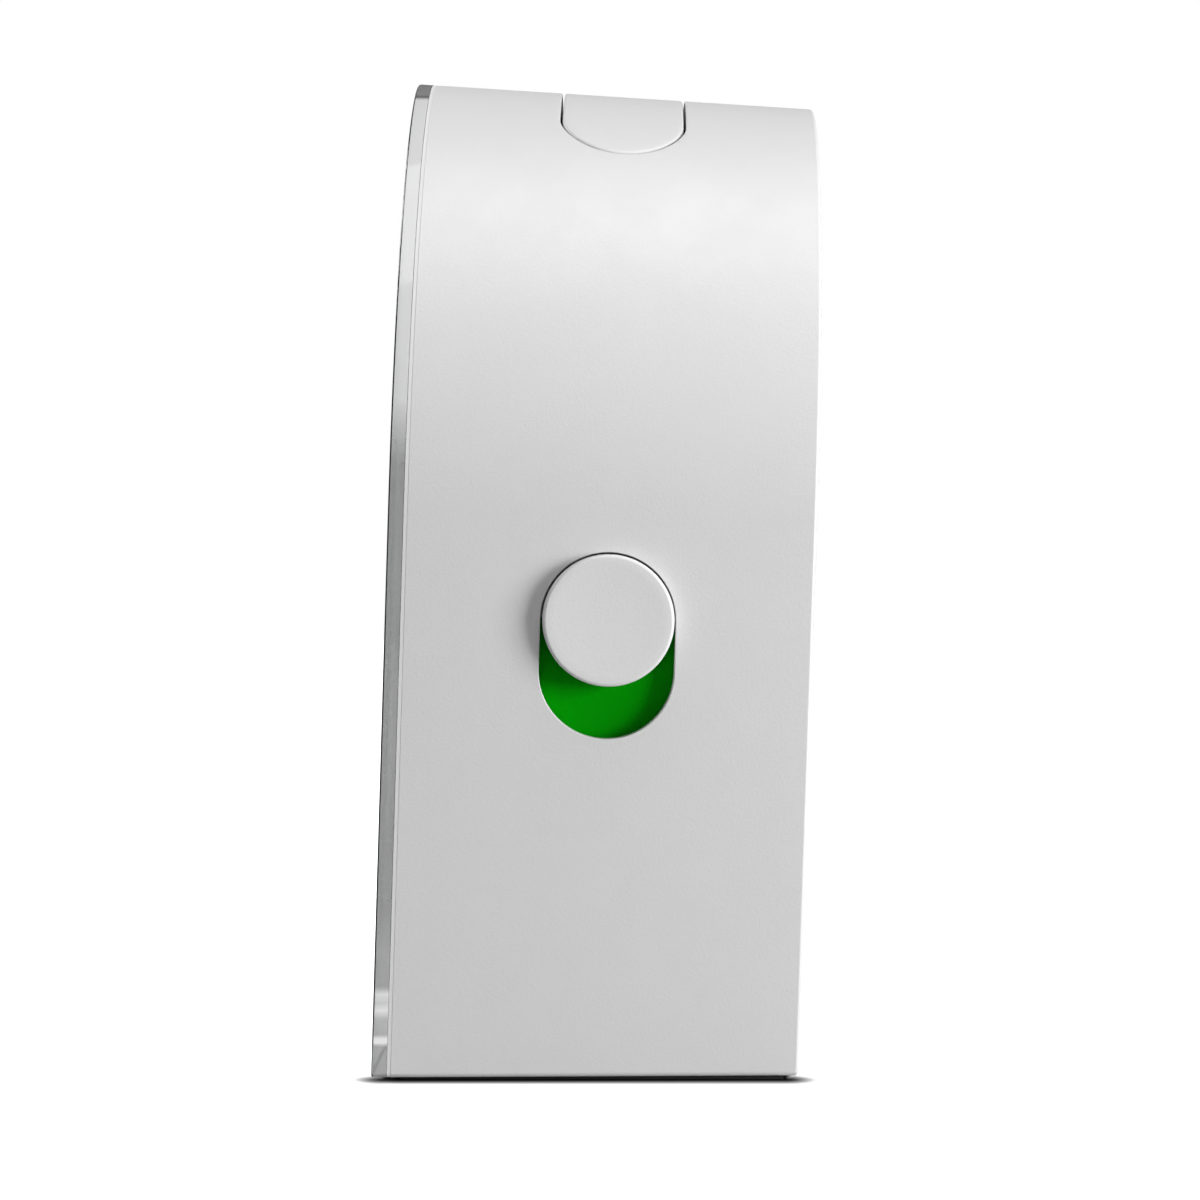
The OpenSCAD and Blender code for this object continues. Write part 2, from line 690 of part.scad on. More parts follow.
module rotor() color([0.35, 0.35, 0.38]) lean_back() {
    train_rod(rotor_at, bridge_v0 + 0.1, pivot_end, pivot_r);
    train_rod(rotor_at, core_v - 1.1, core_v + 0.1, 2.4);
    on_train(rotor_at, 19.3)
        gear(rotor_z, tooth_size(7, rotor_z, inter_z), 1, rotor_a + 180);
}

module intermediate_wheel() color([0.92, 0.9, 0.82]) lean_back() {
    train_rod(inter_at, bridge_v0 + 0.1, pivot_end, pivot_r);
    on_train(inter_at, 17)
        gear(inter_pinion_z, tooth_size(7.2, second_z, inter_pinion_z), 0.8, meshing(inter_a, inter_pinion_z));
    on_train(inter_at, 19.6)
        gear(inter_z, tooth_size(7, rotor_z, inter_z), 0.5, rotor_a + 180 / inter_z);
}

module second_wheel() color([0.92, 0.9, 0.82]) lean_back() {
    train_rod([0, 0], 4.2, 22.6, second_r);
    train_rod([0, 0], 22.5, pivot_end, pivot_r);
    on_train([0, 0], 17.15) gear(second_z, tooth_size(7.2, second_z, inter_pinion_z), 0.45, inter_a);
    on_train([0, 0], 18.2)
        gear(second_pinion_z, tooth_size(7.48, second_pinion_z, third_z), 0.9, third_a);
}

module third_wheel() color([0.92, 0.9, 0.82]) lean_back() {
    train_rod(third_at, bridge_v0 + 0.1, pivot_end, pivot_r);
    on_train(third_at, 16.15)
        gear(third_pinion_z, tooth_size(7.48, third_pinion_z, centre_z), 0.8, third_a + 180);
    on_train(third_at, 18.4)
        gear(third_z, tooth_size(7.48, second_pinion_z, third_z), 0.5, meshing(third_a, third_z));
}

module centre_wheel() color(brass) lean_back() difference() {
    on_train([0, 0], 16.25)
        gear(centre_z, tooth_size(7.48, third_pinion_z, centre_z), 0.5, third_a + 180 / centre_z);
    train_rod([0, 0], 15, 18, minute_r + clear);
}

module cannon_pinion() color(brass) lean_back() difference() {
    union() {
        train_rod([0, 0], 5.1, 16.9, minute_r);
        on_train([0, 0], 14) gear(cannon_z, tooth_size(8.4, cannon_z, motion_z), 1, motion_a);
    }
    train_rod([0, 0], 4, 18, second_r + run);
}

module hour_wheel() color([0.95, 0.95, 0.93]) lean_back() difference() {
    union() {
        train_rod([0, 0], 6, 13.4, hour_r);
        on_train([0, 0], 12.8) gear(hour_z, tooth_size(8.4, motion_pinion_z, hour_z), 0.7, motion_a);
    }
    train_rod([0, 0], 5, 15, minute_r + run);
}

module alarm_wheel() color([0.95, 0.95, 0.93]) lean_back() difference() {
    union() {
        train_rod([0, 0], 6.9, 12.2, alarm_r);
        on_train([0, 0], 11.6) gear(alarm_z, tooth_size(8.6, alarm_z, alarm_pinion_z), 0.7, alarm_a);
    }
    train_rod([0, 0], 6, 14, hour_r + run);
}

module motion_wheel() color([0.95, 0.95, 0.93]) lean_back() {
    train_rod(motion_at, 11.6, 12.9, 0.5);
    train_rod(motion_at, 12.6, 34, arbor_r);
    on_train(motion_at, 12.7)
        gear(motion_pinion_z, tooth_size(8.4, motion_pinion_z, hour_z), 1, meshing(motion_a, motion_pinion_z));
    on_train(motion_at, 14.2)
        gear(motion_z, tooth_size(8.4, cannon_z, motion_z), 0.6, meshing(motion_a, motion_z));
}

module alarm_arbor() color([0.95, 0.95, 0.93]) lean_back() {
    train_rod(alarm_at, mov_v0 + 0.5, 11.5, 0.5);
    train_rod(alarm_at, 11.4, 34, arbor_r);
    on_train(alarm_at, 11.5)
        gear(alarm_pinion_z, tooth_size(8.6, alarm_z, alarm_pinion_z), 0.9, meshing(alarm_a, alarm_pinion_z));
}

// Ribbed setting knob on an arbor
module set_knob(at, r) on_train(at, knob_v0) difference() {
    union() {
        cylinder(h = knob_v1 - knob_v0 - 0.3, r = r);
        translate([0, 0, knob_v1 - knob_v0 - 0.3]) cylinder(h = 0.3, r1 = r, r2 = r - 0.3);
    }
    translate([0, 0, -1]) cylinder(h = 34 - knob_v0 + 1, r = arbor_r);
    for (i = [0 : 17]) rotate(20 * i) translate([r + 0.15, 0, -1]) cylinder(h = 5, r = 0.45);
}

module time_set_knob() color([0.85, 0.85, 0.84]) lean_back() set_knob(motion_at, time_knob_r);

module alarm_set_knob() color([0.85, 0.85, 0.84]) lean_back() set_knob(alarm_at, alarm_knob_r);

// ---------------------------------------------------------------- hands

module second_hand() color([0.75, 0.76, 0.78]) lean_back()
    hand(4.2, 0.3, second_turn, second_len, 7, 0.45, 0.25, 1.4, second_r);

module minute_hand() color(black) lean_back()
    hand(5.1, 0.4, minute_turn, minute_len, 4, 0.95, 0.75, 2.1, minute_r);

module hour_hand() color(black) lean_back()
    hand(6, 0.4, hour_turn, hour_len, 4, 1.25, 1.05, 2.8, hour_r);

module alarm_hand() color(green) lean_back()
    hand(6.9, 0.3, alarm_turn, alarm_len, 3.4, 0.9, 0.35, 3.5, alarm_r);

housing();
lens();
lens_tape();
light_ring();
dial();
chassis();
base_pad();
rear_cover();
battery_door();
cover_screws();
chassis_screws();
snooze_button();
snooze_bracket();
bracket_screws();
snooze_springs();
snooze_switch();
switch_stem();
slider_knob();
slider_carrier();
alarm_flag();
slider_guide();
detent_spring();
slide_switch();
switch_lever();
switch_board();
led_board();
leds();
circuit_board();
board_parts();
speaker();
battery();
plus_contact();
minus_contact();
battery_leads();
speaker_leads();
movement_front_case();
movement_rear_case();
movement_screws();
train_bridge();
movement_board();
quartz_crystal();
coil();
coil_core();
stator();
rotor();
intermediate_wheel();
second_wheel();
third_wheel();
centre_wheel();
cannon_pinion();
hour_wheel();
alarm_wheel();
motion_wheel();
alarm_arbor();
time_set_knob();
alarm_set_knob();
second_hand();
minute_hand();
hour_hand();
alarm_hand();
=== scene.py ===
# %% [markdown]
# # A bedside alarm clock
#
# The mechanical model comes first and stays fixed: it says where every part is and how it moves. The lesson
# builds the visible skin around it. Round shells are made again with fine, smooth surfaces and softened edges,
# and every part gets a material made only of shader nodes.

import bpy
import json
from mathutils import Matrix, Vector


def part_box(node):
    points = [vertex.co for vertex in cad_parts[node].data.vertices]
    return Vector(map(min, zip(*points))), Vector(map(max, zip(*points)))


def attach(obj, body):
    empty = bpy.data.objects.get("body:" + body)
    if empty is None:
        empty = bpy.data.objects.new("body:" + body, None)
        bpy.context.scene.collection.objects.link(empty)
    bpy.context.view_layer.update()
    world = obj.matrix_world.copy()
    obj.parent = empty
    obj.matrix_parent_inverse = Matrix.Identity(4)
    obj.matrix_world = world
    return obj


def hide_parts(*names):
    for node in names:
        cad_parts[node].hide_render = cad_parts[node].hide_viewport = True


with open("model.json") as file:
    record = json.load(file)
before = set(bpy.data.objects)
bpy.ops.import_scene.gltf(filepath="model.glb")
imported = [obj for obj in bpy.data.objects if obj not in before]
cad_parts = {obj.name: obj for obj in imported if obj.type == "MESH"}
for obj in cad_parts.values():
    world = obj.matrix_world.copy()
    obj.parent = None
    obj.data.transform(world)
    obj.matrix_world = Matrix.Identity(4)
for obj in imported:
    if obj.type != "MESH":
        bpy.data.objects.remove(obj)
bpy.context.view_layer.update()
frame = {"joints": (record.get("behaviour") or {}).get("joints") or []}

import json
import math

import bmesh
import bpy
from mathutils import Matrix, Vector

# %% [markdown]
# The clock leans back a little, so it is easiest to model upright and tilt at the end. In the case's own frame
# x runs across the front, y goes back from the lens and z climbs along the lens, all in millimetres. One matrix
# turns that into the table's frame in metres. Its lean comes from the axis of the hands and its origin from the
# lens's lower front edge, so the new pieces land exactly on the mechanical ones.

# %% The case's own frame
joints = {joint["name"]: joint for joint in frame["joints"]}
hand_axis = Vector(joints["minute_spin"]["axis"])
lean = math.atan2(-hand_axis.z, hand_axis.y)
lens_low, lens_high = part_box("lens")
origin = Vector((0, lens_low.y, lens_low.z))
MM = 0.001
CASE = Matrix.Translation(origin) @ Matrix.Rotation(-lean, 4, "X") @ Matrix.Scale(MM, 4)
print("lean in degrees:", round(math.degrees(lean), 2))

# %% The case's driving sizes
case_w = (lens_high.x - lens_low.x) / MM
case_d = 35.1
centre_u = 46.5
draft = math.radians(1.82)
wall = 2.0
bezel = 6.0
chin = 13.0
lens_t = 1.3
tape_t = 0.3
seat_v = lens_t + tape_t
ledge_v = seat_v + 1.5
cover_v1 = case_d - 2.7
cover_v0 = case_d - 4.5
control_v = 18.25


def arch_r(v):
    return case_w / 2 - v * math.tan(draft)


def base_u(v):
    return v * math.tan(lean)


SIDE = CASE @ Matrix.Translation((arch_r(control_v), control_v, 0)) @ Matrix.Rotation(draft, 4, "Z")
print("width in millimetres:", round(case_w, 2))

# %% [markdown]
# Every surface on a real moulding has some texture: a fine spark-eroded grain on plastic, lines on brushed metal.
# Each such effect is a node group, built once and placed in many materials. A group only puts out values that
# change over the surface. The shader itself, and every plain number, stays in the material.


# %% Node group helpers
def new_group(name, inputs, outputs):
    group = bpy.data.node_groups.new(name, "ShaderNodeTree")
    for label, value in inputs.items():
        socket = group.interface.new_socket(label, in_out="INPUT", socket_type="NodeSocketFloat")
        socket.default_value = value
    for label in outputs:
        group.interface.new_socket(label, in_out="OUTPUT", socket_type="NodeSocketFloat")
    return group, group.nodes.new("NodeGroupInput"), group.nodes.new("NodeGroupOutput")


def scaled_noise(group, place, scale, detail, roughness=0.5):
    noise = group.nodes.new("ShaderNodeTexNoise")
    noise.inputs["Detail"].default_value = detail
    noise.inputs["Roughness"].default_value = roughness
    group.links.new(place, noise.inputs["Vector"])
    group.links.new(scale, noise.inputs["Scale"])
    return noise.outputs["Fac"]


def spread(group, value, low, high, from_low=0.3, from_high=0.7):
    ranger = group.nodes.new("ShaderNodeMapRange")
    ranger.inputs["From Min"].default_value = from_low
    ranger.inputs["From Max"].default_value = from_high
    ranger.inputs["To Min"].default_value = low
    ranger.inputs["To Max"].default_value = high
    group.links.new(value, ranger.inputs["Value"])
    return ranger.outputs["Result"]


def arithmetic(group, kind, a, b):
    node = group.nodes.new("ShaderNodeMath")
    node.operation = kind
    for socket, value in zip(node.inputs, (a, b)):
        if isinstance(value, (int, float)):
            socket.default_value = value
        else:
            group.links.new(value, socket)
    return node.outputs[0]


# %% The moulded grain
def build_grain():
    """Fine grain, slow waviness and faint handling marks on a moulded surface."""
    group, given, out = new_group(
        "moulded_grain", {"Scale": 4200.0, "Roughness": 0.5, "Variation": 0.08}, ("Height", "Roughness", "Tint"))
    place = group.nodes.new("ShaderNodeTexCoord").outputs["Object"]
    fine = scaled_noise(group, place, given.outputs["Scale"], 3.0, 0.6)
    wave = scaled_noise(group, place, arithmetic(group, "MULTIPLY", given.outputs["Scale"], 0.012), 2.0)
    marks = scaled_noise(group, place, arithmetic(group, "MULTIPLY", given.outputs["Scale"], 0.035), 5.0, 0.7)
    height = arithmetic(group, "ADD", fine, arithmetic(group, "MULTIPLY", wave, 0.5))
    change = arithmetic(group, "MULTIPLY", spread(group, marks, -0.5, 0.5), given.outputs["Variation"])
    group.links.new(height, out.inputs["Height"])
    group.links.new(arithmetic(group, "ADD", given.outputs["Roughness"], change), out.inputs["Roughness"])
    group.links.new(spread(group, marks, 0.0, 1.0), out.inputs["Tint"])
    return group


GRAIN = build_grain()
print("grain outputs:", [item.name for item in GRAIN.interface.items_tree if item.in_out == "OUTPUT"])


# %% The brushed or turned metal lines
def build_brushing():
    """Lines along x, as rolling and brushing leave on sheet metal, with slow blotches."""
    group, given, out = new_group("brushed_lines", {"Scale": 900.0, "Roughness": 0.3}, ("Height", "Roughness", "Tint"))
    mapping = group.nodes.new("ShaderNodeMapping")
    mapping.inputs["Scale"].default_value = (0.04, 1.0, 1.0)
    group.links.new(group.nodes.new("ShaderNodeTexCoord").outputs["Object"], mapping.inputs["Vector"])
    lines = scaled_noise(group, mapping.outputs["Vector"], given.outputs["Scale"], 4.0, 0.7)
    coarser = arithmetic(group, "MULTIPLY", given.outputs["Scale"], 0.2)
    blotch = scaled_noise(group, mapping.outputs["Vector"], coarser, 3.0)
    group.links.new(lines, out.inputs["Height"])
    rough = arithmetic(group, "ADD", given.outputs["Roughness"], spread(group, lines, -0.07, 0.1))
    group.links.new(rough, out.inputs["Roughness"])
    group.links.new(spread(group, blotch, 0.0, 1.0), out.inputs["Tint"])
    return group


BRUSHING = build_brushing()

# %% [markdown]
# A material is then a Principled shader with one of those groups in front of it. Two close colours are mixed by
# the group's mask, because no moulding is one flat colour, and a bump of a few micrometres breaks up the gloss.


# %% Material maker
def surface(name, colour, other, rough, group, scale, bump, metallic=0.0, **plain):
    """A material whose two tones, roughness and fine relief come from a node group."""
    made = bpy.data.materials.new(name)
    made.use_nodes = True
    nodes, links = made.node_tree.nodes, made.node_tree.links
    shader = nodes["Principled BSDF"]
    texture = nodes.new("ShaderNodeGroup")
    texture.node_tree = group
    texture.inputs["Scale"].default_value = scale
    texture.inputs["Roughness"].default_value = rough
    tones = nodes.new("ShaderNodeMix")
    tones.data_type = "RGBA"
    tones.inputs[6].default_value = (*colour, 1)
    tones.inputs[7].default_value = (*other, 1)
    links.new(texture.outputs["Tint"], tones.inputs[0])
    links.new(tones.outputs[2], shader.inputs["Base Color"])
    links.new(texture.outputs["Roughness"], shader.inputs["Roughness"])
    relief = nodes.new("ShaderNodeBump")
    relief.inputs["Distance"].default_value = bump
    relief.inputs["Strength"].default_value = 1.0
    links.new(texture.outputs["Height"], relief.inputs["Height"])
    links.new(relief.outputs["Normal"], shader.inputs["Normal"])
    shader.inputs["Metallic"].default_value = metallic
    for label, value in plain.items():
        shader.inputs[label.replace("_", " ")].default_value = value
    return made


def plastic(name, colour, other, rough=0.5, scale=4200.0, bump=4e-6, **plain):
    return surface(name, colour, other, rough, GRAIN, scale, bump, **plain)


def metal(name, colour, other, rough=0.3, scale=900.0, bump=2e-6, **plain):
    return surface(name, colour, other, rough, BRUSHING, scale, bump, metallic=1.0, **plain)


# %% [markdown]
# White acrylonitrile plastic is slightly translucent and has a satin spark-eroded skin. The inner mouldings are
# the same resin without the fine texture, so they are a little glossier and warmer.

# %% Plastics
case_white = plastic("case_white", (0.725, 0.725, 0.725), (0.705, 0.705, 0.705), 0.42, 4600.0, 1.5e-5)
inner_white = plastic("inner_white", (0.70, 0.69, 0.66), (0.66, 0.65, 0.62), 0.38, 2500.0, 2e-6)
knob_white = plastic("knob_white", (0.76, 0.76, 0.76), (0.74, 0.74, 0.74), 0.42, 4600.0, 1.4e-5)
flag_green = plastic("flag_green", (0.0, 0.3, 0.0), (0.0, 0.27, 0.0), 0.5, 5200.0, 6e-6, Specular_IOR_Level=0.04)
black_plastic = plastic("black_plastic", (0.018, 0.018, 0.02), (0.026, 0.026, 0.028), 0.45, 3200.0, 5e-6)
rubber = plastic("pad_rubber", (0.02, 0.02, 0.02), (0.03, 0.03, 0.03), 0.8, 1800.0, 1.2e-5)
dial_white = plastic("dial_white", (0.80, 0.80, 0.79), (0.78, 0.78, 0.77), 0.6, 6000.0, 3e-6)
dial_ink = plastic("dial_ink", (0.02, 0.02, 0.022), (0.03, 0.03, 0.032), 0.45, 5000.0, 2e-6)
grey_ink = plastic("grey_ink", (0.22, 0.22, 0.23), (0.26, 0.26, 0.27), 0.55, 5000.0, 2e-6)
milky = plastic("milky_diffuser", (0.82, 0.82, 0.80), (0.80, 0.80, 0.78), 0.32, 3000.0, 1.5e-6,
                Subsurface_Weight=0.3, Subsurface_Radius=(0.002, 0.002, 0.0018))
board_green = plastic("solder_mask", (0.01, 0.09, 0.045), (0.014, 0.12, 0.06), 0.3, 1500.0, 4e-6)
led_yellow = plastic("led_phosphor", (0.85, 0.75, 0.28), (0.8, 0.68, 0.22), 0.3, 2500.0, 2e-6)
lead_red = plastic("lead_red", (0.42, 0.012, 0.01), (0.5, 0.02, 0.015), 0.5, 2500.0, 3e-6)
tape_white = plastic("tape_white", (0.78, 0.78, 0.78), (0.75, 0.75, 0.75), 0.6, 2500.0, 4e-6)

# %% Metals
steel = metal("plated_steel", (0.56, 0.57, 0.58), (0.5, 0.5, 0.52), 0.28)
spring_steel = metal("spring_steel", (0.42, 0.42, 0.43), (0.36, 0.36, 0.37), 0.35)
brass = metal("turned_brass", (0.72, 0.52, 0.22), (0.62, 0.43, 0.17), 0.3)
copper = metal("enamelled_copper", (0.62, 0.25, 0.09), (0.5, 0.18, 0.06), 0.3, 4000.0, 1e-5)
hand_silver = plastic("hand_lacquer_silver", (0.5, 0.5, 0.51), (0.46, 0.46, 0.47), 0.35, 4000.0, 1e-6, Metallic=0.6)
hand_black = plastic("hand_lacquer_black", (0.012, 0.012, 0.013), (0.02, 0.02, 0.021), 0.3, 4000.0, 1e-6,
                     Coat_Weight=0.3)
hand_green = plastic("hand_lacquer_green", (0.0, 0.2, 0.01), (0.0, 0.24, 0.012), 0.3, 4000.0, 1e-6, Coat_Weight=0.3)
print("materials:", len(bpy.data.materials))

# %% [markdown]
# The lens is clear acrylic. A pure glass shader keeps lamps from lighting what lies behind it, so shadow rays
# pass a plain transparent shader instead. A real cut edge bends and mirrors its surroundings, which this scene
# doesn't have. Painted reflections and painted shade laid over the clear edge stand in for them: a diffuse
# surface whose tone and share were chosen for a few heights. A colour ramp runs between them, with the tone as
# colour and the share as alpha. The painted reflections stay where they are from every side; without this layer
# the edge is plain and clear.

# %% Painted reflections and shade on the cut edge, standing in for the surroundings
EDGE_TOP = 84.4
PAINTED_EDGE_STOPS = [(0.4, 0.45, 0.6), (3.1, 0.5, 0.6), (3.15, 1, 0.97), (3.65, 1, 0.97), (3.7, 0.6, 0.5),
              (5.2, 0.7, 0.5), (5.9, 1, 0.85), (6.6, 0.95, 0.6), (7.4, 1, 0.9), (7.8, 0.5, 0.45),
              (14, 0.28, 0.55), (23, 0.3, 0.45), (40, 0.3, 0.25), (51, 0.3, 0.35), (56, 0.95, 0.45),
              (66, 0.9, 0.48), (82.1, 0.75, 0.65), (82.15, 0.02, 0.95), (82.4, 0.02, 0.95), (82.45, 0.2, 0.72)]
SIDEWAYS = 0.3


def edge_haze(tree):
    """The painted reflections' tone, and their share on the cut edge, from (height, tone, share) stops."""
    nodes, links = tree.nodes, tree.links
    place = nodes.new("ShaderNodeSeparateXYZ")
    links.new(nodes.new("ShaderNodeTexCoord").outputs["Object"], place.inputs[0])
    facing = nodes.new("ShaderNodeSeparateXYZ")
    links.new(nodes.new("ShaderNodeTexCoord").outputs["Normal"], facing.inputs[0])
    height = nodes.new("ShaderNodeMapRange")
    height.inputs["From Max"].default_value = EDGE_TOP * MM
    links.new(place.outputs["Z"], height.inputs["Value"])
    stops = nodes.new("ShaderNodeValToRGB")
    links.new(height.outputs["Result"], stops.inputs[0])
    ramp = stops.color_ramp
    for at, tone, share in PAINTED_EDGE_STOPS:
        ramp.elements.new(at / EDGE_TOP).color = (tone, tone, tone, share)
    ramp.elements[0].color = ramp.elements[1].color
    ramp.elements[len(ramp.elements) - 1].color = ramp.elements[len(ramp.elements) - 2].color
    frontal = arithmetic(tree, "ABSOLUTE", facing.outputs["Y"], 0)
    on_side = arithmetic(tree, "LESS_THAN", frontal, SIDEWAYS)
    return stops.outputs["Color"], arithmetic(tree, "MULTIPLY", on_side, stops.outputs["Alpha"])


# %% Clear acrylic
def mixed(tree, share, first, second):
    """A shader that is the second one by the given share, and the first one for the rest."""
    mix = tree.nodes.new("ShaderNodeMixShader")
    for socket, value in zip(mix.inputs, (share, first, second)):
        tree.links.new(value, socket)
    return mix.outputs[0]


def clear_acrylic():
    made = bpy.data.materials.new("clear_acrylic")
    made.use_nodes = True
    nodes, links = made.node_tree.nodes, made.node_tree.links
    shader = nodes["Principled BSDF"]
    shader.inputs["Base Color"].default_value = (0.97, 0.985, 0.98, 1)
    shader.inputs["Transmission Weight"].default_value = 1.0
    shader.inputs["IOR"].default_value = 1.49
    texture = nodes.new("ShaderNodeGroup")
    texture.node_tree = GRAIN
    texture.inputs["Scale"].default_value = 600.0
    texture.inputs["Roughness"].default_value = 0.03
    texture.inputs["Variation"].default_value = 0.02
    links.new(texture.outputs["Roughness"], shader.inputs["Roughness"])
    # The cut edge gets painted reflections and painted shade: a diffuse layer whose tone is set by height, not by the
    # lamps.
    tone, share = edge_haze(made.node_tree)
    painted_reflections = nodes.new("ShaderNodeBsdfDiffuse")
    links.new(tone, painted_reflections.inputs["Color"])
    edge = mixed(made.node_tree, share, shader.outputs[0], painted_reflections.outputs[0])
    clear = nodes.new("ShaderNodeBsdfTransparent")
    clear.inputs["Color"].default_value = (0.95, 0.97, 0.96, 1)
    shadow_ray = nodes.new("ShaderNodeLightPath").outputs["Is Shadow Ray"]
    whole = mixed(made.node_tree, shadow_ray, edge, clear.outputs[0])
    links.new(whole, nodes["Material Output"].inputs["Surface"])
    return made


acrylic = clear_acrylic()

# %% [markdown]
# A finished piece always goes through the same steps: merge doubles, move it from the case's frame to the table,
# point its faces outwards, shade it smooth except where it turns sharply, hang it on the body it rides on and
# hide the mechanical part it stands for. The weighted normals keep large flat faces flat beside their soft edges.


# %% Finishing a piece
def solid(bm, name, place=CASE):
    """An object made from a bmesh drawn in millimetres, placed on the table and facing outwards."""
    bmesh.ops.remove_doubles(bm, verts=bm.verts, dist=1e-4)
    bmesh.ops.transform(bm, matrix=place, verts=bm.verts)
    bmesh.ops.recalc_face_normals(bm, faces=bm.faces)
    mesh = bpy.data.meshes.new(name)
    bm.to_mesh(mesh)
    bm.free()
    piece = bpy.data.objects.new(name, mesh)
    bpy.context.collection.objects.link(piece)
    return piece


def dress(piece, material, body, stands_for=(), sharp=35):
    mesh = piece.data
    mesh.materials.clear()
    mesh.materials.append(material)
    mesh.shade_smooth()
    mesh.set_sharp_from_angle(angle=math.radians(sharp))
    weighted = piece.modifiers.new("weighted_normals", "WEIGHTED_NORMAL")
    weighted.keep_sharp = True
    weighted.weight = 80
    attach(piece, body)
    if stands_for:
        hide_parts(*stands_for)
    print(piece.name, "faces:", len(mesh.polygons))
    return piece


def combine(piece, others, operation):
    """Adds the other objects to the piece, or cuts them out of it, and keeps the result as its mesh."""
    for other in others:
        step = piece.modifiers.new("combine", "BOOLEAN")
        step.operation = operation
        step.solver = "EXACT"
        step.object = other
    graph = bpy.context.evaluated_depsgraph_get()
    result = bpy.data.meshes.new_from_object(piece.evaluated_get(graph))
    piece.modifiers.clear()
    piece.data = result
    for other in others:
        bpy.data.objects.remove(other)
    return piece


# %% [markdown]
# The case is one outline, an arch with a flat foot, carried back from the lens with a little draft. So every
# shell here is a loft. The first ring is spun and its lower corners are bevelled; each next ring is extruded from
# the last and moved. A list of (depth, inset, floor) stations describes the wall, outside and inside.

# %% The arch loft
ARC_STEPS = 150


def first_ring(bm, v, inset, floor, foot_r):
    r = arch_r(v) - inset
    start = bm.verts.new((r, v, centre_u))
    spun = bmesh.ops.spin(bm, geom=[start], cent=(0, v, centre_u), axis=(0, -1, 0), angle=math.pi,
                          steps=ARC_STEPS, dvec=(0, 0, 0))
    end = next(item for item in spun["geom_last"] if isinstance(item, bmesh.types.BMVert))
    feet = bmesh.ops.extrude_vert_indiv(bm, verts=[start, end])["verts"]
    for foot in feet:
        foot.co.z = floor
    bm.edges.new(feet)
    bmesh.ops.bevel(bm, geom=feet, offset=foot_r, affect="VERTICES", segments=6, profile=0.5, material=-1)
    return {"edges": list(bm.edges), "r": r, "floor": floor}


def extruded(bm, ring):
    made = bmesh.ops.extrude_edge_only(bm, edges=ring["edges"])["geom"]
    verts = {item for item in made if isinstance(item, bmesh.types.BMVert)}
    edges = [item for item in made if isinstance(item, bmesh.types.BMEdge) and set(item.verts) <= verts]
    return verts, edges


def next_ring(bm, ring, v, inset, floor):
    r = arch_r(v) - inset
    verts, edges = extruded(bm, ring)
    wider = r / ring["r"]
    taller = (centre_u - floor) / (centre_u - ring["floor"])
    for vert in verts:
        climb = vert.co.z - centre_u
        vert.co = Vector((vert.co.x * wider, v, centre_u + climb * (wider if climb >= 0 else taller)))
    return {"edges": edges, "r": r, "floor": floor}


def loft(stations, closed=False, foot_r=0.4):
    """A shell through (depth, inset, floor) stations, with its lower corners rounded by foot_r. Closed joins the
    last ring to the first."""
    bm = bmesh.new()
    first = ring = first_ring(bm, *stations[0], foot_r)
    for station in stations[1:]:
        ring = next_ring(bm, ring, *station)
    if closed:
        bmesh.ops.bridge_loops(bm, edges=first["edges"] + ring["edges"])
    else:
        for end in (first, ring):
            bmesh.ops.contextual_create(bm, geom=end["edges"])
    return bm


def foot(v, inset):
    return base_u(v) + inset


def sill(v, inset):
    return chin - bezel + inset


def corner(v, inset, v_way, inset_way, r, floor=foot, face_first=False, steps=5):
    """Stations round a wall's corner. The ways, +1 or -1, point from the corner into the material; face_first is
    for a path that reaches the corner along the face instead of along the wall."""
    angles = [math.pi / 2 * i / steps for i in range(steps + 1)]
    points = [(v + v_way * r * (1 - math.sin(a)), inset + inset_way * r * (1 - math.cos(a))) for a in angles]
    if face_first:
        points.reverse()
    return [(pv, pi, floor(pv, pi)) for pv, pi in points]


# %% [markdown]
# The controls sit in round-ended openings. Every point of such an outline belongs to the nearest point of a
# middle line, so rings of any radius match up. A flare at a cutter's mouth leaves a softened rim.

# %% Round-ended lofts
END_STEPS = 40
STRAIGHT_STEPS = 30


def pill_ring(bm, r, half, across, height):
    """A ring r away from a middle line that runs from -half to half along x."""
    tip = start = bm.verts.new((half, across - r, 0))
    for side in (1, -1):
        turn = bmesh.ops.spin(bm, geom=[tip], cent=(side * half, across, 0), axis=(0, 0, 1), angle=math.pi,
                              steps=END_STEPS, dvec=(0, 0, 0))
        tip = next(item for item in turn["geom_last"] if isinstance(item, bmesh.types.BMVert))
        for _ in range(STRAIGHT_STEPS):
            tip = bmesh.ops.extrude_vert_indiv(bm, verts=[tip])["verts"][0]
            tip.co.x -= side * 2 * half / STRAIGHT_STEPS
    bmesh.ops.remove_doubles(bm, verts=[start, tip], dist=1e-3)
    for vert in bm.verts:
        vert.co.z = height(vert.co.x, vert.co.y)
    return {"edges": list(bm.edges), "r": r}


def next_pill(bm, ring, r, half, across, height):
    verts, edges = extruded(bm, ring)
    for vert in verts:
        middle = Vector((min(max(vert.co.x, -half), half), across))
        x, y = middle + (vert.co.xy - middle) * (r / ring["r"])
        vert.co = Vector((x, y, height(x, y)))
    return {"edges": edges, "r": r}


def pill_loft(half, across, stations):
    """A solid through (radius, height function) stations, capped where it doesn't close on its middle line."""
    bm = bmesh.new()
    first = ring = pill_ring(bm, stations[0][0], half, across, stations[0][1])
    for r, height in stations[1:]:
        ring = next_pill(bm, ring, r, half, across, height)
    for end in (first, ring):
        if end["r"] > 0:
            bmesh.ops.contextual_create(bm, geom=end["edges"])
    return bm


def crown(x, v):
    return centre_u + math.sqrt(max(arch_r(v) ** 2 - x * x, 0))


def above(surface_at, rise):
    return lambda x, y: surface_at(x, y) + rise


def level(height):
    return lambda x, y: height


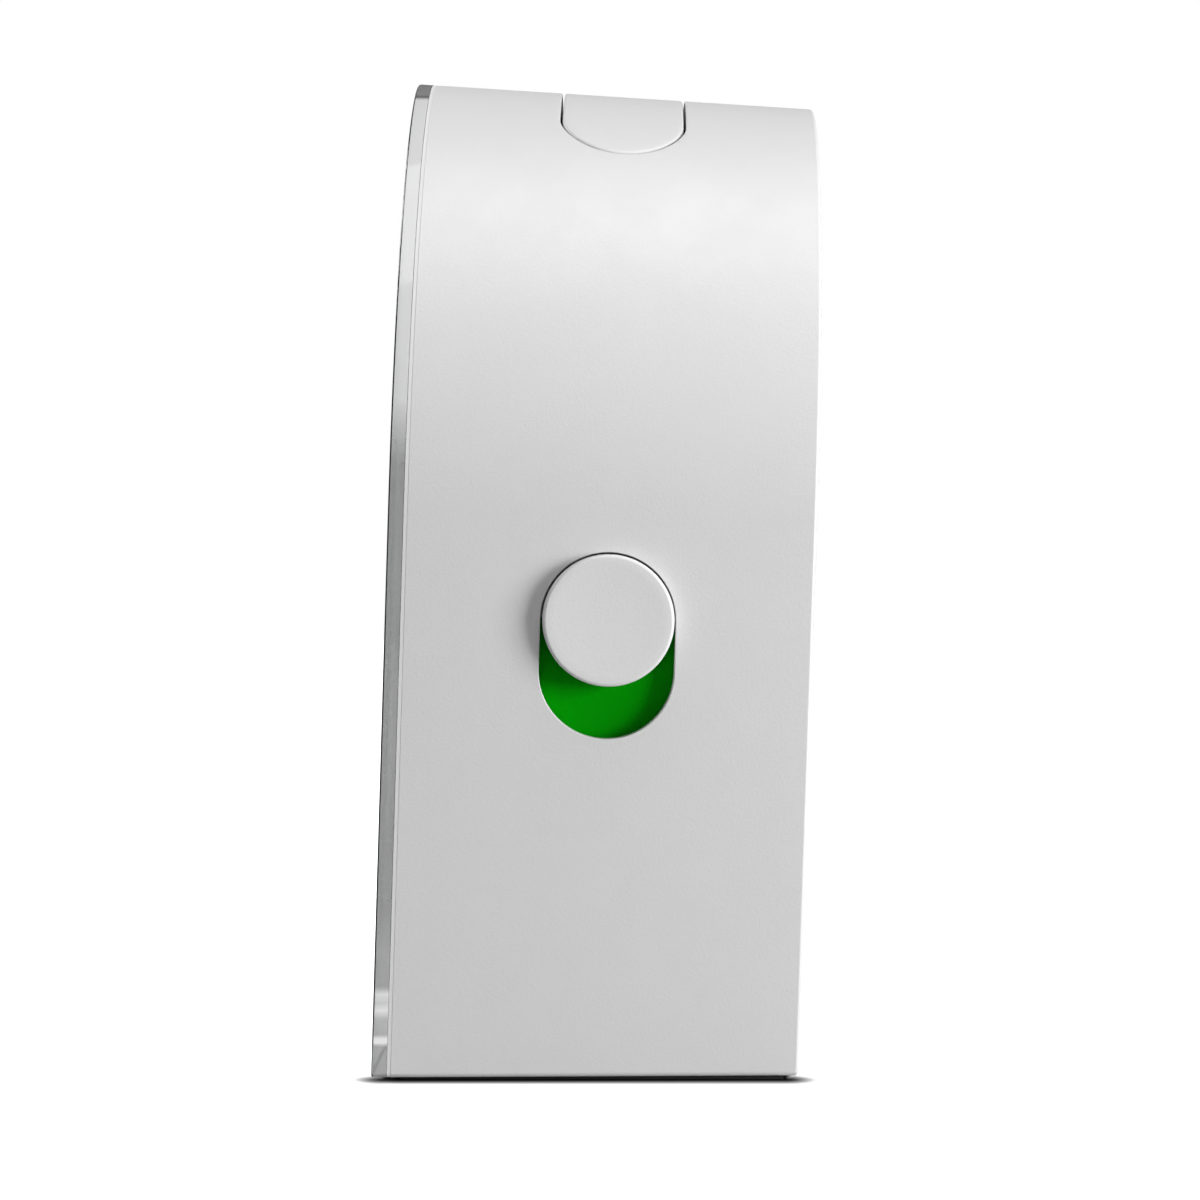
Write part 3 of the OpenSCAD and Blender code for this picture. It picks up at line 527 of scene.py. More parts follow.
def mouth(r, soft, surface_at, top, steps=4):
    """Stations that open a cutter of radius r into a soft rim at a surface, and carry it on to a flat top."""
    made = []
    for i in range(steps + 1):
        a = math.radians(80) * i / steps
        made.append((r + soft * (1 - math.cos(a)), above(surface_at, soft * (math.sin(a) - 1))))
    return made + [(r + 1.6 * soft, above(surface_at, 0.3)), (r + 1.6 * soft, level(top))]


# %% [markdown]
# The case is a white moulded shell, open at the back, with a ledge round the window at the front. Its edges have
# the small radii that a mould leaves. A switch slot is cut in its right side and a long opening in its crown.

# %% Snooze opening, switch slot and carrier pocket
snooze_half = 15.06
snooze_r = 5.45
snooze_gap = 0.22
knob_u = 38.14
knob_travel = 4.19
slot_r = 5.555
X_AND_Z_SWAPPED = Matrix(((0, 0, 1, 0), (0, 1, 0, 0), (1, 0, 0, 0), (0, 0, 0, 1)))
SLOT = SIDE @ Matrix.Translation((0, 0, knob_u - knob_travel / 2)) @ X_AND_Z_SWAPPED


def snooze_opening():
    stations = [(snooze_r, level(centre_u + 22))] + mouth(snooze_r, 0.1, crown, centre_u + 42)
    return solid(pill_loft(snooze_half, control_v, stations), "snooze_opening")


def switch_slot():
    stations = [(slot_r, level(-4))] + mouth(slot_r, 0.09, level(0), 3)
    return solid(pill_loft(knob_travel / 2, 0, stations), "switch_slot", SLOT)


def box(low, high, soft=0.0, segments=3):
    bm = bmesh.new()
    bmesh.ops.create_cube(bm, size=1)
    low, high = Vector(low), Vector(high)
    bmesh.ops.scale(bm, vec=high - low, verts=bm.verts)
    bmesh.ops.translate(bm, vec=(low + high) / 2, verts=bm.verts)
    if soft:
        bmesh.ops.bevel(bm, geom=list(bm.edges), offset=soft, affect="EDGES", segments=segments, profile=0.5,
                        material=-1)
    return bm


# %% The housing
front_edge_r = 0.02
edge_r = 0.3
outside = [(v, 0, foot(v, 0)) for v in range(4, 34, 2)]
wall_path = (corner(seat_v, 0, 1, 1, front_edge_r, face_first=True) + outside + corner(case_d, 0, -1, 1, edge_r)
             + corner(case_d, wall, -1, -1, edge_r, face_first=True)
             + [(ledge_v, wall, foot(ledge_v, wall)), (ledge_v, bezel, chin)]
             + corner(seat_v, bezel, 1, -1, edge_r, floor=sill))
housing = solid(loft(wall_path, closed=True), "case_housing")
pocket = solid(box((-4, -6.5, 23), (-1.25, 6.5, 49.2)), "carrier_pocket", SIDE)
combine(housing, [snooze_opening(), switch_slot(), pocket], "DIFFERENCE")
dress(housing, case_white, "case", ["housing"])

# %% [markdown]
# In front of it a polished acrylic plate covers the whole face. A frame of white foam tape holds it, and behind
# the window a milky ring spreads the light of the lamps over the dial.

# %% Lens, tape and light ring
lens = solid(loft(corner(0, 0, 1, 1, 0.2, face_first=True) + corner(lens_t, 0, -1, 1, 0.06, steps=2)), "front_lens")
dress(lens, acrylic, "case", ["lens"])

tape_v0, tape_v1, tape_in = lens_t + 0.01, seat_v - 0.004, 0.02
tape_w = bezel - 1.5
tape_path = [(tape_v0, tape_in, foot(tape_v0, tape_in)), (tape_v1, tape_in, foot(tape_v1, tape_in)),
             (tape_v1, tape_w, chin - 1.5), (tape_v0, tape_w, chin - 1.5)]
dress(solid(loft(tape_path, closed=True), "lens_mounting_tape"), tape_white, "case", ["lens_tape"])

ring_path = [(3.2, 2.4, 8.6), (7.6, 2.4, 8.6), (7.6, 9, 16), (3.4, 6.1, 13.1), (3.2, 6.3, 13.3)]
dress(solid(loft(ring_path, closed=True), "light_spreader"), milky, "case", ["light_ring"])


# %% [markdown]
# Round parts are turned: a half profile is spun about an axis. The same helper makes knobs, screws, washers and
# the cell. Each profile is a list of (radius, height) points, closed on the axis.


# %% Turned parts
def turned(profile, steps=96):
    """Spins a profile about z."""
    bm = bmesh.new()
    verts = [bm.verts.new((r, 0, h)) for r, h in profile]
    edges = [bm.edges.new(pair) for pair in zip(verts, verts[1:])]
    bmesh.ops.spin(bm, geom=verts + edges, cent=(0, 0, 0), axis=(0, 0, 1), angle=math.tau, steps=steps,
                   dvec=(0, 0, 0), use_merge=True)
    return bm


def round_over(r, h, soft, up=1, steps=4):
    """The points of a rounded outer rim, from the side to the face."""
    angles = [math.pi / 2 * i / steps for i in range(steps + 1)]
    return [(r - soft * (1 - math.cos(a)), h - up * soft * (1 - math.sin(a))) for a in angles]


def facing_back(x, u, v=0.0):
    """A place at (x, u) whose z points out of the back, starting v deep."""
    return CASE @ Matrix.Translation((x, v, u)) @ Matrix.Rotation(-math.pi / 2, 4, "X")


def facing_front(x, u, v=0.0):
    return CASE @ Matrix.Translation((x, v, u)) @ Matrix.Rotation(math.pi / 2, 4, "X")


print("a back point looks along", [round(c, 2) for c in facing_back(0, 0).to_3x3().col[2].normalized()])

# %% [markdown]
# The snooze bar is a long button whose top carries on the curve of the crown. It is a stack of round-ended rings
# that shrink towards the middle line, so its rim gets an even radius all the way round.

# %% Snooze bar
bar_r = snooze_r - snooze_gap
bar_soft = 0.22
bar = [(bar_r, level(centre_u + 24.5)), (bar_r, above(crown, -2.5))]
for i in range(7):
    a = math.pi / 2 * i / 6
    bar.append((bar_r - bar_soft * (1 - math.cos(a)), above(crown, -bar_soft * (1 - math.sin(a)))))
bar += [(bar_r * share, crown) for share in (0.8, 0.6, 0.4, 0.2, 0)]
snooze_bar = solid(pill_loft(snooze_half, control_v, bar), "snooze_bar")
dress(snooze_bar, case_white, "snooze", ["snooze_button"])

# %% [markdown]
# The switch on the side is a round slider in its slot. Above green means that the alarm is on: the green strip
# rides behind the knob and shows below it when the knob is up. The knob's face is very slightly dished, so that
# a fingertip finds it.

# %% Switch knob
knob_r = 5.39
knob_profile = [(0, -2.3), (1.9, -2.3), (1.9, -1.5), (knob_r - 0.3, -1.5), (knob_r, -1.3)]
knob_profile += round_over(knob_r, 1.25, 0.3, steps=8)
knob_profile += [(knob_r - 0.9, 1.23), (knob_r - 2, 1.19), (knob_r - 3.5, 1.16), (0, 1.15)]
knob_place = SIDE @ Matrix.Translation((0, 0, knob_u)) @ Matrix.Rotation(math.pi / 2, 4, "Y")
switch_knob = solid(turned(knob_profile, 128), "switch_knob", knob_place)
dress(switch_knob, knob_white, "slider", ["slider_knob"])

# %% Alarm flag
green_strip = solid(box((-1.7, -6.2, 27.8), (-1.5, 6.2, knob_u), 0.03, 2), "alarm_on_strip", SIDE)
combine(green_strip, [solid(turned([(0, -3), (2, -3), (2, 0), (0, 0)], 48), "stem_hole", knob_place)], "DIFFERENCE")
dress(green_strip, flag_green, "slider", ["alarm_flag"])

# %% [markdown]
# The dial is a thin printed plate. Print has almost no thickness, but it does have an edge, so the marks are very
# thin solids that stand a few hundredths of a millimetre off the plate. Numerals come from the built-in font.

# %% Dial plate
dial_v = 7.7
dial = solid(loft([(dial_v, 2.4, 3.4), (dial_v + 0.8, 2.4, 3.4)]), "dial_plate")
hand_hole = solid(turned([(0, -2), (2.9, -2), (2.9, 2), (0, 2)]), "hand_hole", facing_front(0, centre_u, dial_v))
combine(dial, [hand_hole], "DIFFERENCE")
dress(dial, dial_white, "case", ["dial"])

# %% Minute track
print_t = 0.04
DIAL = facing_front(0, centre_u, dial_v)


def bar_at(bm, angle, r0, r1, width, thick=print_t, base=0.0):
    """A small bar between two radii, at an angle measured clockwise from twelve."""
    made = bmesh.ops.create_cube(bm, size=1)["verts"]
    bmesh.ops.scale(bm, vec=(width, r1 - r0, thick), verts=made)
    bmesh.ops.translate(bm, vec=(0, (r0 + r1) / 2, base + thick / 2), verts=made)
    bmesh.ops.rotate(bm, cent=(0, 0, 0), matrix=Matrix.Rotation(-angle, 3, "Z"), verts=made)


track = bmesh.new()
for minute in range(60):
    whole = minute % 5 == 0
    bar_at(track, math.tau * minute / 60, 24.6 if whole else 25.8, 27.6, 0.8 if whole else 0.3)
dress(solid(track, "minute_track", DIAL), dial_ink, "case")

# %% Alarm scale
scale = bmesh.new()
for step in range(48):
    bar_at(scale, math.tau * step / 48, 11.2 if step % 4 else 10.6, 12.2, 0.18)
dress(solid(scale, "alarm_scale", DIAL), grey_ink, "case")


# %% Numerals
def numeral(text, size, place, name, material, thick=print_t):
    curve = bpy.data.curves.new(name, "FONT")
    curve.body = text
    curve.size = size
    curve.align_x = "CENTER"
    curve.align_y = "CENTER"
    curve.extrude = thick / 2
    curve.resolution_u = 6
    holder = bpy.data.objects.new(name, curve)
    bpy.context.collection.objects.link(holder)
    mesh = bpy.data.meshes.new_from_object(holder.evaluated_get(bpy.context.evaluated_depsgraph_get()))
    bpy.data.objects.remove(holder)
    bm = bmesh.new()
    bm.from_mesh(mesh)
    bmesh.ops.translate(bm, vec=(0, 0, thick / 2), verts=bm.verts)
    return dress(solid(bm, name, place), material, "case")


for hour in range(1, 13):
    angle = math.tau * hour / 12
    place = DIAL @ Matrix.Translation((19.6 * math.sin(angle), 19.6 * math.cos(angle), 0))
    numeral(str(hour), 6.4, place, f"numeral_{hour}", dial_ink)

# %% [markdown]
# The hands are stamped from thin sheet: a round boss with a tapered blade across it. Each has its own height on
# the axis, and turns with its own body. Turning is measured clockwise from twelve as the clock is read, so a hand
# that points at one minute past sits at six degrees. The boss and blade are united and their edges softened.


# %% Flat shapes
def flat_shape(bm, outline, thick):
    """A plate of the given thickness with its outline's points given in order."""
    face = bm.faces.new([bm.verts.new((x, y, 0)) for x, y in outline])
    made = bmesh.ops.extrude_face_region(bm, geom=[face])["geom"]
    bmesh.ops.translate(bm, vec=(0, 0, thick), verts=[item for item in made if isinstance(item, bmesh.types.BMVert)])


# %% Hands
def hand(name, stands_for, v, thick, degrees, length, tail, root_half, tip_half, boss_r, material, body):
    place = facing_front(0, centre_u, v + thick)
    boss = solid(turned([(0, 0), (boss_r, 0), (boss_r, thick), (0, thick)], 72), name, place)
    blade = bmesh.new()
    flat_shape(blade, [(-root_half, -tail), (root_half, -tail), (tip_half, length), (-tip_half, length)], thick)
    blade = solid(blade, name + "_blade", place @ Matrix.Rotation(-math.radians(degrees), 4, "Z"))
    combine(boss, [blade], "UNION")
    soft = boss.modifiers.new("soft_edges", "BEVEL")
    soft.width = 0.06 * MM
    soft.segments = 2
    soft.limit_method = "ANGLE"
    return dress(boss, material, body, [stands_for])


hand("blade_of_hour", "hour_hand", 6.0, 0.4, 304.8, 16.5, 4, 1.25, 1.05, 2.8, hand_black, "hour")
hand("blade_of_minute", "minute_hand", 5.1, 0.4, 57.5, 24, 4, 0.95, 0.75, 2.1, hand_black, "minute")
hand("blade_of_second", "second_hand", 4.2, 0.3, 210, 25.5, 7, 0.45, 0.25, 1.4, hand_silver, "second")
hand("blade_of_alarm", "alarm_hand", 6.9, 0.3, 195, 13, 3.4, 0.9, 0.35, 3.5, hand_green, "alarm")

# %% [markdown]
# The back is a separate moulding, sunk a little between the walls and held by four screws. It carries the battery
# tray on its inside. Its holes are all turned cutters with a small lead-in, taken away in one go.


# %% Round holes in the back
def hole(x, u, r, v0, v1, lead=0.12, face=None):
    """A cutter from depth v0 out to v1, opening with a small lead-in at the given face."""
    face = cover_v1 if face is None else face
    profile = [(0, 0), (r, 0), (r, face - lead - v0), (r + lead, face - v0 + 0.01), (r + lead, v1 - v0), (0, v1 - v0)]
    return solid(turned(profile, 40), "hole", facing_back(x, u, v0))


screw_at = [(28.5, 59.8), (31.2, 8), (-28.5, 59.8), (-31.2, 8)]
knob_at = {"time_set": (7.275, 50.7, 5.5), "alarm_set": (0, 37.9, 4.5)}
speaker_u = 66
grille_at = [(0, speaker_u)]
for count, reach in ((6, 3.2), (12, 6.4)):
    for step in range(count):
        a = math.tau * step / count
        grille_at.append((reach * math.cos(a), speaker_u + reach * math.sin(a)))

# %% Back cover with its battery tray
inset = wall + 0.25
finger_dish = [(0, 0), (4.6, 0), (5, 0.4), (5, 3), (0, 3)]
cover_path = [(cover_v0, inset, foot(cover_v0, inset))] + corner(cover_v1, inset, -1, 1, 0.3)
cover = solid(loft(cover_path), "back_cover")
combine(cover, [solid(box((-28.6, 14.6, 5), (28.6, 31, 21.8), 0.4), "tray")], "UNION")
cuts = [solid(box((-27.4, 15.8, 6.2), (27.4, 31.5, 20.6), 0.3), "tray_inside"),
        solid(box((-27.4, 29.6, 5.2), (27.4, 34, 21.2), 0.2), "door_opening"),
        solid(turned(finger_dish), "finger_notch", facing_back(0, 21.2, cover_v1 - 0.9))]
cuts += [hole(x, u, 1.3, 29, 34) for x, u, _ in knob_at.values()]
cuts += [hole(x, u, 0.7, 29, 34) for x, u in grille_at]
cuts += [hole(x, u, 1.1, 29, 31.5, face=40) for x, u in screw_at]
cuts += [hole(x, u, 2.1, cover_v1 - 1.2, 34) for x, u in screw_at]
combine(cover, cuts, "DIFFERENCE")
dress(cover, case_white, "case", ["rear_cover"])

# %% [markdown]
# The battery door is a flat lid that turns on two small pins at its foot. It has a finger notch, a few moulded
# ribs for grip and a thin raised arrow that shows where to pull.

# %% Battery door
door_axis_v = cover_v1 - 0.75
door_half = 27.1
door = solid(box((-door_half, cover_v1 - 1.5, 6.2), (door_half, cover_v1, 20.9), 0.2), "door_leaf")
across = CASE @ Matrix.Translation((-door_half, door_axis_v, 6.2)) @ Matrix.Rotation(math.pi / 2, 4, "Y")
barrel = [(0, 0), (0.75, 0), (0.75, 2 * door_half), (0, 2 * door_half)]
pins_end = 2 * door_half + 1.1
pins = [(0, -1.1), (0.4, -1.1), (0.5, -1), (0.5, pins_end - 0.1), (0.4, pins_end), (0, pins_end)]
combine(door, [solid(turned(barrel, 48), "door_barrel", across), solid(turned(pins, 32), "door_pins", across)], "UNION")
notch = solid(turned(finger_dish), "door_notch", facing_back(0, 21.2, cover_v1 - 0.9))
ribs = [solid(box((x - 0.35, cover_v1 - 0.35, 9), (x + 0.35, cover_v1 + 1, 15), 0.15), "door_groove")
        for x in (-21.6, -20, -18.4, 18.4, 20, 21.6)]
combine(door, [notch] + ribs, "DIFFERENCE")
dress(door, case_white, "door", ["battery_door"])

# %% Arrow on the door
arrow = bmesh.new()
flat_shape(arrow, [(-1.6, 0), (0, 1.9), (1.6, 0), (0.6, 0), (0.6, -1.9), (-0.6, -1.9), (-0.6, 0)], 0.12)
arrow = solid(arrow, "door_arrow", facing_back(0, 12.5, cover_v1 - 0.02) @ Matrix.Rotation(math.pi, 4, "Z"))
dress(arrow, case_white, "door")

# %% [markdown]
# The setting knobs are fluted so that a fingertip turns them. The flutes come from moving the points of a turned
# blank in and out with their angle.


# %% Setting knobs
def fluted_knob(name, x, u, r, body, stands_for, flutes=18, depth=0.28):
    low, high = 32.8, 34.9
    profile = [(0, 0), (r - 0.2, 0), (r, 0.2)] + round_over(r, high - low, 0.35, steps=5) + [(r - 1.1, 2.02), (0, 1.95)]
    bm = turned(profile, flutes * 10)
    for vert in bm.verts:
        out = vert.co.xy.length
        if out > r - 0.6:
            wave = (0.5 + 0.5 * math.cos(flutes * math.atan2(vert.co.y, vert.co.x))) ** 2
            vert.co.xy *= (out - depth * wave) / out
    return dress(solid(bm, name, facing_back(x, u, low)), inner_white, body, [stands_for])


for body, (x, u, r) in knob_at.items():
    fluted_knob(body + "_dial", x, u, r, body, body + "_knob")

# %% [markdown]
# The cover screws are pan-headed, with a cross recess. All four come from one turned profile, and each is left at
# its own angle, as a screwdriver leaves them.

# %% Cover screws
head_r, head_h = 1.9, 0.55
head = [(0, -8), (0.5, -7.6), (0.9, -6.8), (0.9, 0), (head_r, 0), (head_r, head_h)]
head += [(head_r * math.cos(a), head_h + head_h * math.sin(a)) for a in (math.radians(15 * i) for i in range(1, 6))]
head.append((0, 2 * head_h))
for number, (x, u) in enumerate(screw_at):
    place = facing_back(x, u, cover_v1 - 1.15) @ Matrix.Rotation(math.radians(23 + 41 * number), 4, "Z")
    screw = solid(turned(head, 48), f"cover_screw_{number + 1}", place)
    cross = [solid(box((-a, -b, 0.5), (a, b, 2), 0.05, 1), "cross", place) for a, b in ((1.1, 0.22), (0.22, 1.1))]
    combine(screw, cross, "DIFFERENCE")
    dress(screw, steel, "case", ["cover_screws"], sharp=40)

# %% [markdown]
# Moulded symbols by the controls say what each does without words: a clock face by the time knob, a bell by the
# alarm knob, and the two ends of the cell in the tray. Each is a thin flat shape standing 0.1 mm proud.


# %% Symbols
def ring(bm, x, y, r, width, steps=48):
    made = turned([(r - width, 0), (r, 0), (r, 0.1), (r - width, 0.1), (r - width, 0)], steps)
    mesh = bpy.data.meshes.new("ring")
    bmesh.ops.translate(made, vec=(x, y, 0), verts=made.verts)
    made.to_mesh(mesh)
    made.free()
    bm.from_mesh(mesh)
    bpy.data.meshes.remove(mesh)


def stroke(bm, x, y, length, width, degrees=0):
    made = bmesh.ops.create_cube(bm, size=1)["verts"]
    bmesh.ops.scale(bm, vec=(length, width, 0.1), verts=made)
    bmesh.ops.rotate(bm, cent=(0, 0, 0), matrix=Matrix.Rotation(math.radians(degrees), 3, "Z"), verts=made)
    bmesh.ops.translate(bm, vec=(x, y, 0.05), verts=made)


def clock_symbol(bm):
    ring(bm, 0, 0, 1.6, 0.25)
    stroke(bm, 0, 0.45, 0.22, 0.9)
    stroke(bm, 0.35, 0, 0.8, 0.22)


def bell_symbol(bm):
    flat_shape(bm, [(-1.5, -0.9), (1.5, -0.9), (1.0, -0.3), (0.9, 0.7), (0.45, 1.25), (0, 1.4), (-0.45, 1.25),
                    (-0.9, 0.7), (-1.0, -0.3)], 0.1)
    ring(bm, 0, -1.25, 0.35, 0.33, 24)


def symbol(name, draw, place, body="case"):
    bm = bmesh.new()
    draw(bm)
    return dress(solid(bm, name, place), grey_ink, body)


symbol("clock_symbol", clock_symbol, facing_back(16.5, 50.7, cover_v1 - 0.01) @ Matrix.Rotation(math.pi, 4, "Z"))
symbol("bell_symbol", bell_symbol, facing_back(9.5, 37.9, cover_v1 - 0.01) @ Matrix.Rotation(math.pi, 4, "Z"))


def plus(bm):
    stroke(bm, 0, 0, 2.6, 0.6)
    stroke(bm, 0, 0, 2.6, 0.6, 90)


def minus(bm):
    stroke(bm, 0, 0, 2.6, 0.6)


symbol("plus_symbol", plus, facing_back(23.5, 18.2, 15.8))
symbol("minus_symbol", minus, facing_back(-23.5, 18.2, 15.8))

# %% [markdown]
# The cell is a turned can in a printed sleeve, with a crimped shoulder and a small positive cap. The sleeve's two
# colours come from how far along the cell a point lies.

# %% Cell
cell_len, cell_r = 49.3, 7.0
can = [(0, 0), (3.4, 0), (3.4, 0.15), (cell_r - 0.7, 0.15), (cell_r - 0.35, 0), (cell_r, 0.35),
       (cell_r, cell_len - 0.5), (cell_r - 0.5, cell_len), (cell_r - 1, cell_len - 0.25), (2.9, cell_len - 0.25),
       (2.6, cell_len + 0.1), (2.6, cell_len + 0.9), (2.3, cell_len + 1.2), (0, cell_len + 1.2)]
along = CASE @ Matrix.Translation((-cell_len / 2, 22.9, 13.4)) @ Matrix.Rotation(math.pi / 2, 4, "Y")


def printed_sleeve():
    made = metal("cell_sleeve", (0.05, 0.16, 0.1), (0.04, 0.13, 0.08), 0.35, 1500.0)
    nodes, links = made.node_tree.nodes, made.node_tree.links
    place = nodes.new("ShaderNodeSeparateXYZ")
    links.new(nodes.new("ShaderNodeTexCoord").outputs["Object"], place.inputs[0])
    band = nodes.new("ShaderNodeValToRGB")
    band.color_ramp.interpolation = "CONSTANT"
    band.color_ramp.elements[0].color = (0.6, 0.6, 0.6, 1)
    band.color_ramp.elements[1].position = 0.98
    band.color_ramp.elements[1].color = (0.6, 0.6, 0.6, 1)
    band.color_ramp.elements.new(0.02).color = (0.03, 0.14, 0.08, 1)
    band.color_ramp.elements.new(0.7).color = (0.75, 0.75, 0.76, 1)
    run = nodes.new("ShaderNodeMapRange")
    run.inputs["From Min"].default_value = -cell_len / 2 * MM
    run.inputs["From Max"].default_value = cell_len / 2 * MM
    links.new(place.outputs["X"], run.inputs["Value"])
    links.new(run.outputs["Result"], band.inputs[0])
    links.new(band.outputs[0], nodes["Principled BSDF"].inputs["Base Color"])
    return made


dress(solid(turned(can, 96), "cell_can", along), printed_sleeve(), "case", ["battery"])

# %% [markdown]
# The works inside keep the shapes of the mechanical model: the movement with its wheels, coil and stator, the
# boards, the springs and the switches. They get real materials, and a small bevel where a moulding or stamping
# has one.

# %% Materials for the mechanical pieces
def finish_node(name, material, soft=0.1):
    piece = bpy.data.objects[name]
    for slot in piece.material_slots:
        slot.material = material
    if not piece.material_slots:
        piece.data.materials.append(material)
    weld = piece.modifiers.new("weld", "WELD")
    weld.merge_threshold = 1e-6
    if soft:
        bevel = piece.modifiers.new("soft_edges", "BEVEL")
        bevel.width = soft * MM
        bevel.segments = 2
        bevel.limit_method = "ANGLE"
        bevel.angle_limit = math.radians(40)


finishes = {
    inner_white: ["slider_carrier", "snooze_bracket", "slider_guide", "movement_rear_case", "intermediate_wheel",
                  "second_wheel", "third_wheel", "hour_wheel", "alarm_wheel", "motion_wheel", "alarm_arbor"],
    black_plastic: ["chassis", "snooze_switch", "switch_stem", "switch_lever", "board_parts", "speaker",
                    "movement_front_case"],
    rubber: ["base_pad"],
    steel: ["chassis_screws", "bracket_screws", "slide_switch", "plus_contact", "movement_screws", "quartz_crystal",
            "coil_core", "stator", "rotor"],
    spring_steel: ["snooze_springs", "detent_spring", "minus_contact"],
    brass: ["train_bridge", "centre_wheel", "cannon_pinion"],
    board_green: ["switch_board", "led_board", "circuit_board", "movement_board"],
    led_yellow: ["leds"],
    lead_red: ["battery_leads", "speaker_leads"],
    copper: ["coil"],
}
unbevelled = {"snooze_springs", "minus_contact", "battery_leads", "speaker_leads"}
for material, names in finishes.items():
    for name in names:
        finish_node(name, material, 0 if name in unbevelled else 0.08)
print("mechanical pieces finished:", sum(len(names) for names in finishes.values()))

# %% [markdown]
# The camera looks at the clock's right side from about 0.4 m, tilted slightly down, through a long lens that
# keeps the perspective weak.

# %% Camera
camera_data = bpy.data.cameras.new("side_view")
camera_data.lens = 130.08
camera_data.sensor_width = 36
camera = bpy.data.objects.new("side_view", camera_data)
camera.location = (0.391, 0.00124, 0.05376)
camera.rotation_euler = (math.pi / 2 - 0.04, 0, math.pi / 2)
bpy.context.collection.objects.link(camera)
bpy.context.scene.camera = camera
print("camera distance in metres:", round(camera.location.x, 3))

# %% [markdown]
# The sheet looks pure white. It glows everywhere except close along the clock's left and right sides, where a
# dark rim, set only by the distance from the foot, stands in for a contact shadow. A light path node shows the
# sheet and the backdrop white where they are seen directly and partly white through the acrylic. The light that
# they throw on the clock is much dimmer than they look, so that the white case keeps its shading.

# %% What the camera sees directly or through the acrylic
THROUGH_ACRYLIC = 0.22


def seen_directly(nodes, links):
    path = nodes.new("ShaderNodeLightPath")
    share = nodes.new("ShaderNodeMath")
    share.operation = "MULTIPLY_ADD"
    share.use_clamp = True
    share.inputs[1].default_value = THROUGH_ACRYLIC
    links.new(path.outputs["Is Transmission Ray"], share.inputs[0])
    links.new(path.outputs["Is Camera Ray"], share.inputs[2])
    return share.outputs[0]


# %% How far a point of the sheet is from the foot
FOOT_HALF_X, FOOT_HALF_Y = 0.0358, 0.0165
SHADOW_REACH_X, SHADOW_REACH_Y = 0.0032, 0.0034
TAPER = -3.5


def distance_from_foot(tree):
    """0 under the clock and 1 where the painted contact shadow ends."""
    nodes, links = tree.nodes, tree.links
    mirrored = nodes.new("ShaderNodeVectorMath")
    mirrored.operation = "ABSOLUTE"
    links.new(nodes.new("ShaderNodeTexCoord").outputs["Object"], mirrored.inputs[0])
    along = nodes.new("ShaderNodeSeparateXYZ")
    links.new(mirrored.outputs[0], along.inputs[0])
    past_y = arithmetic(tree, "MAXIMUM", arithmetic(tree, "SUBTRACT", along.outputs["Y"], FOOT_HALF_Y), 0)
    past_x = arithmetic(tree, "MAXIMUM", arithmetic(tree, "SUBTRACT", along.outputs["X"], FOOT_HALF_X),
                        arithmetic(tree, "MULTIPLY", past_y, TAPER))
    reach = nodes.new("ShaderNodeCombineXYZ")
    links.new(arithmetic(tree, "DIVIDE", past_x, SHADOW_REACH_X), reach.inputs["X"])
    links.new(arithmetic(tree, "DIVIDE", past_y, SHADOW_REACH_Y), reach.inputs["Y"])
    distance = nodes.new("ShaderNodeVectorMath")
    distance.operation = "LENGTH"
    links.new(reach.outputs[0], distance.inputs[0])
    return distance.outputs["Value"]


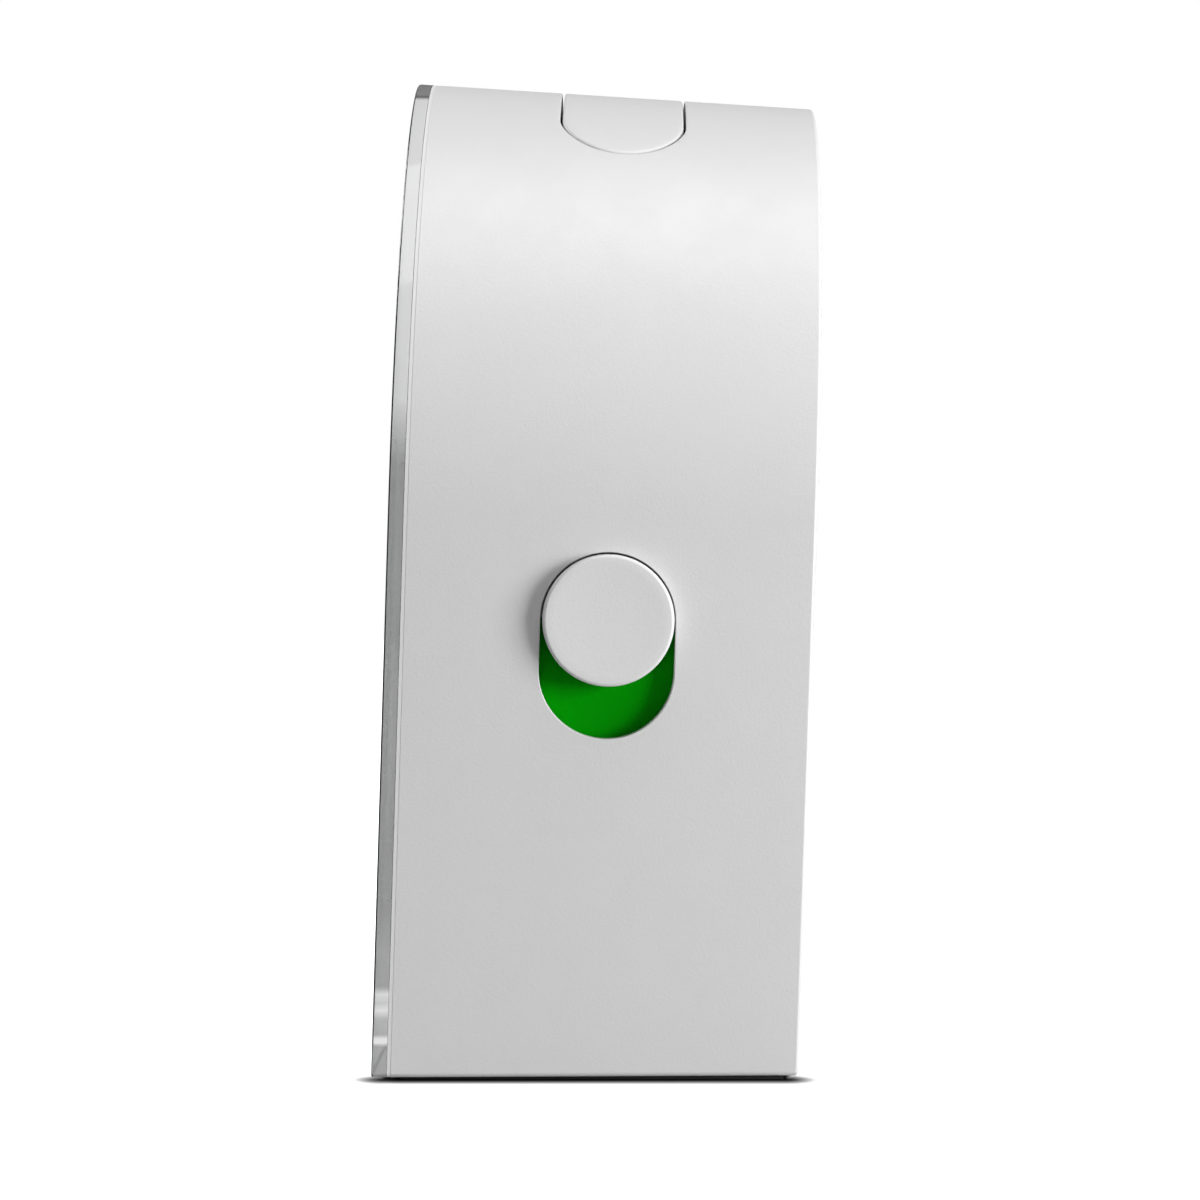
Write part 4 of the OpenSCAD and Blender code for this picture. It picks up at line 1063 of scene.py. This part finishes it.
# %% Floor
bm = bmesh.new()
bmesh.ops.create_grid(bm, x_segments=8, y_segments=8, size=0.7)
floor = solid(bm, "white_sheet", Matrix.Identity(4))
sheet = plastic("sheet_white", (0.95, 0.95, 0.95), (0.94, 0.94, 0.94), 0.9, 300.0, 1e-5, Specular_IOR_Level=0.0)
nodes, links = sheet.node_tree.nodes, sheet.node_tree.links
table = nodes["Principled BSDF"]
# Under and close beside the foot the glow and the base colour fade to near black: a painted contact shadow.
glow_past_painted_shadow = arithmetic(sheet.node_tree, "POWER", distance_from_foot(sheet.node_tree), 2.2)
glow_past_painted_shadow.node.use_clamp = True
tone = nodes.new("ShaderNodeMix")
tone.data_type = "RGBA"
tone.inputs[6].default_value = (0.02, 0.02, 0.02, 1)
tone.inputs[7].default_value = (0.95, 0.95, 0.95, 1)
links.new(glow_past_painted_shadow, tone.inputs[0])
links.new(tone.outputs[2], table.inputs["Base Color"])
table.inputs["Emission Color"].default_value = (1, 1, 1, 1)
links.new(glow_past_painted_shadow, table.inputs["Emission Strength"])
dimmer = nodes.new("ShaderNodeBsdfDiffuse")
dimmer.inputs["Color"].default_value = (0.3, 0.3, 0.3, 1)
either = mixed(sheet.node_tree, seen_directly(nodes, links), dimmer.outputs[0], table.outputs[0])
links.new(either, nodes["Material Output"].inputs["Surface"])
floor.data.materials.append(sheet)

# %% [markdown]
# Three soft lamps light the clock. A large one overhead brightens the crown, a smaller one, low at the back and
# out to the right, rakes along the side and gives the knob its shadow, and one at the front left fills in.


# %% Lamps
def lamp(name, place, target, size, power):
    data = bpy.data.lights.new(name, "AREA")
    data.shape = "RECTANGLE"
    data.size, data.size_y = size
    data.energy = power
    light = bpy.data.objects.new(name, data)
    light.location = place
    light.rotation_euler = (Vector(target) - Vector(place)).to_track_quat("-Z", "Y").to_euler()
    bpy.context.collection.objects.link(light)


middle = (0.03, 0, 0.045)
lamp("overhead", (0.1, 0.05, 0.82), middle, (0.5, 0.5), 3.4)
lamp("key", (0.22, 0.36, 0.06), middle, (0.2, 0.2), 2.25)
lamp("front_fill", (-0.35, -0.5, 0.42), middle, (0.3, 0.3), 2.1)
bpy.context.scene.view_settings.view_transform = "Standard"

# %% World
world = bpy.data.worlds.new("room")
bpy.context.scene.world = world
world.use_nodes = True
nodes, links = world.node_tree.nodes, world.node_tree.links
backdrop = nodes["Background"]
backdrop.inputs["Color"].default_value = (1, 1, 1, 1)
room = nodes.new("ShaderNodeBackground")
room.inputs["Color"].default_value = (1, 1, 1, 1)
room.inputs["Strength"].default_value = 0.24
seen = mixed(world.node_tree, seen_directly(nodes, links), room.outputs[0], backdrop.outputs[0])
links.new(seen, nodes["World Output"].inputs["Surface"])
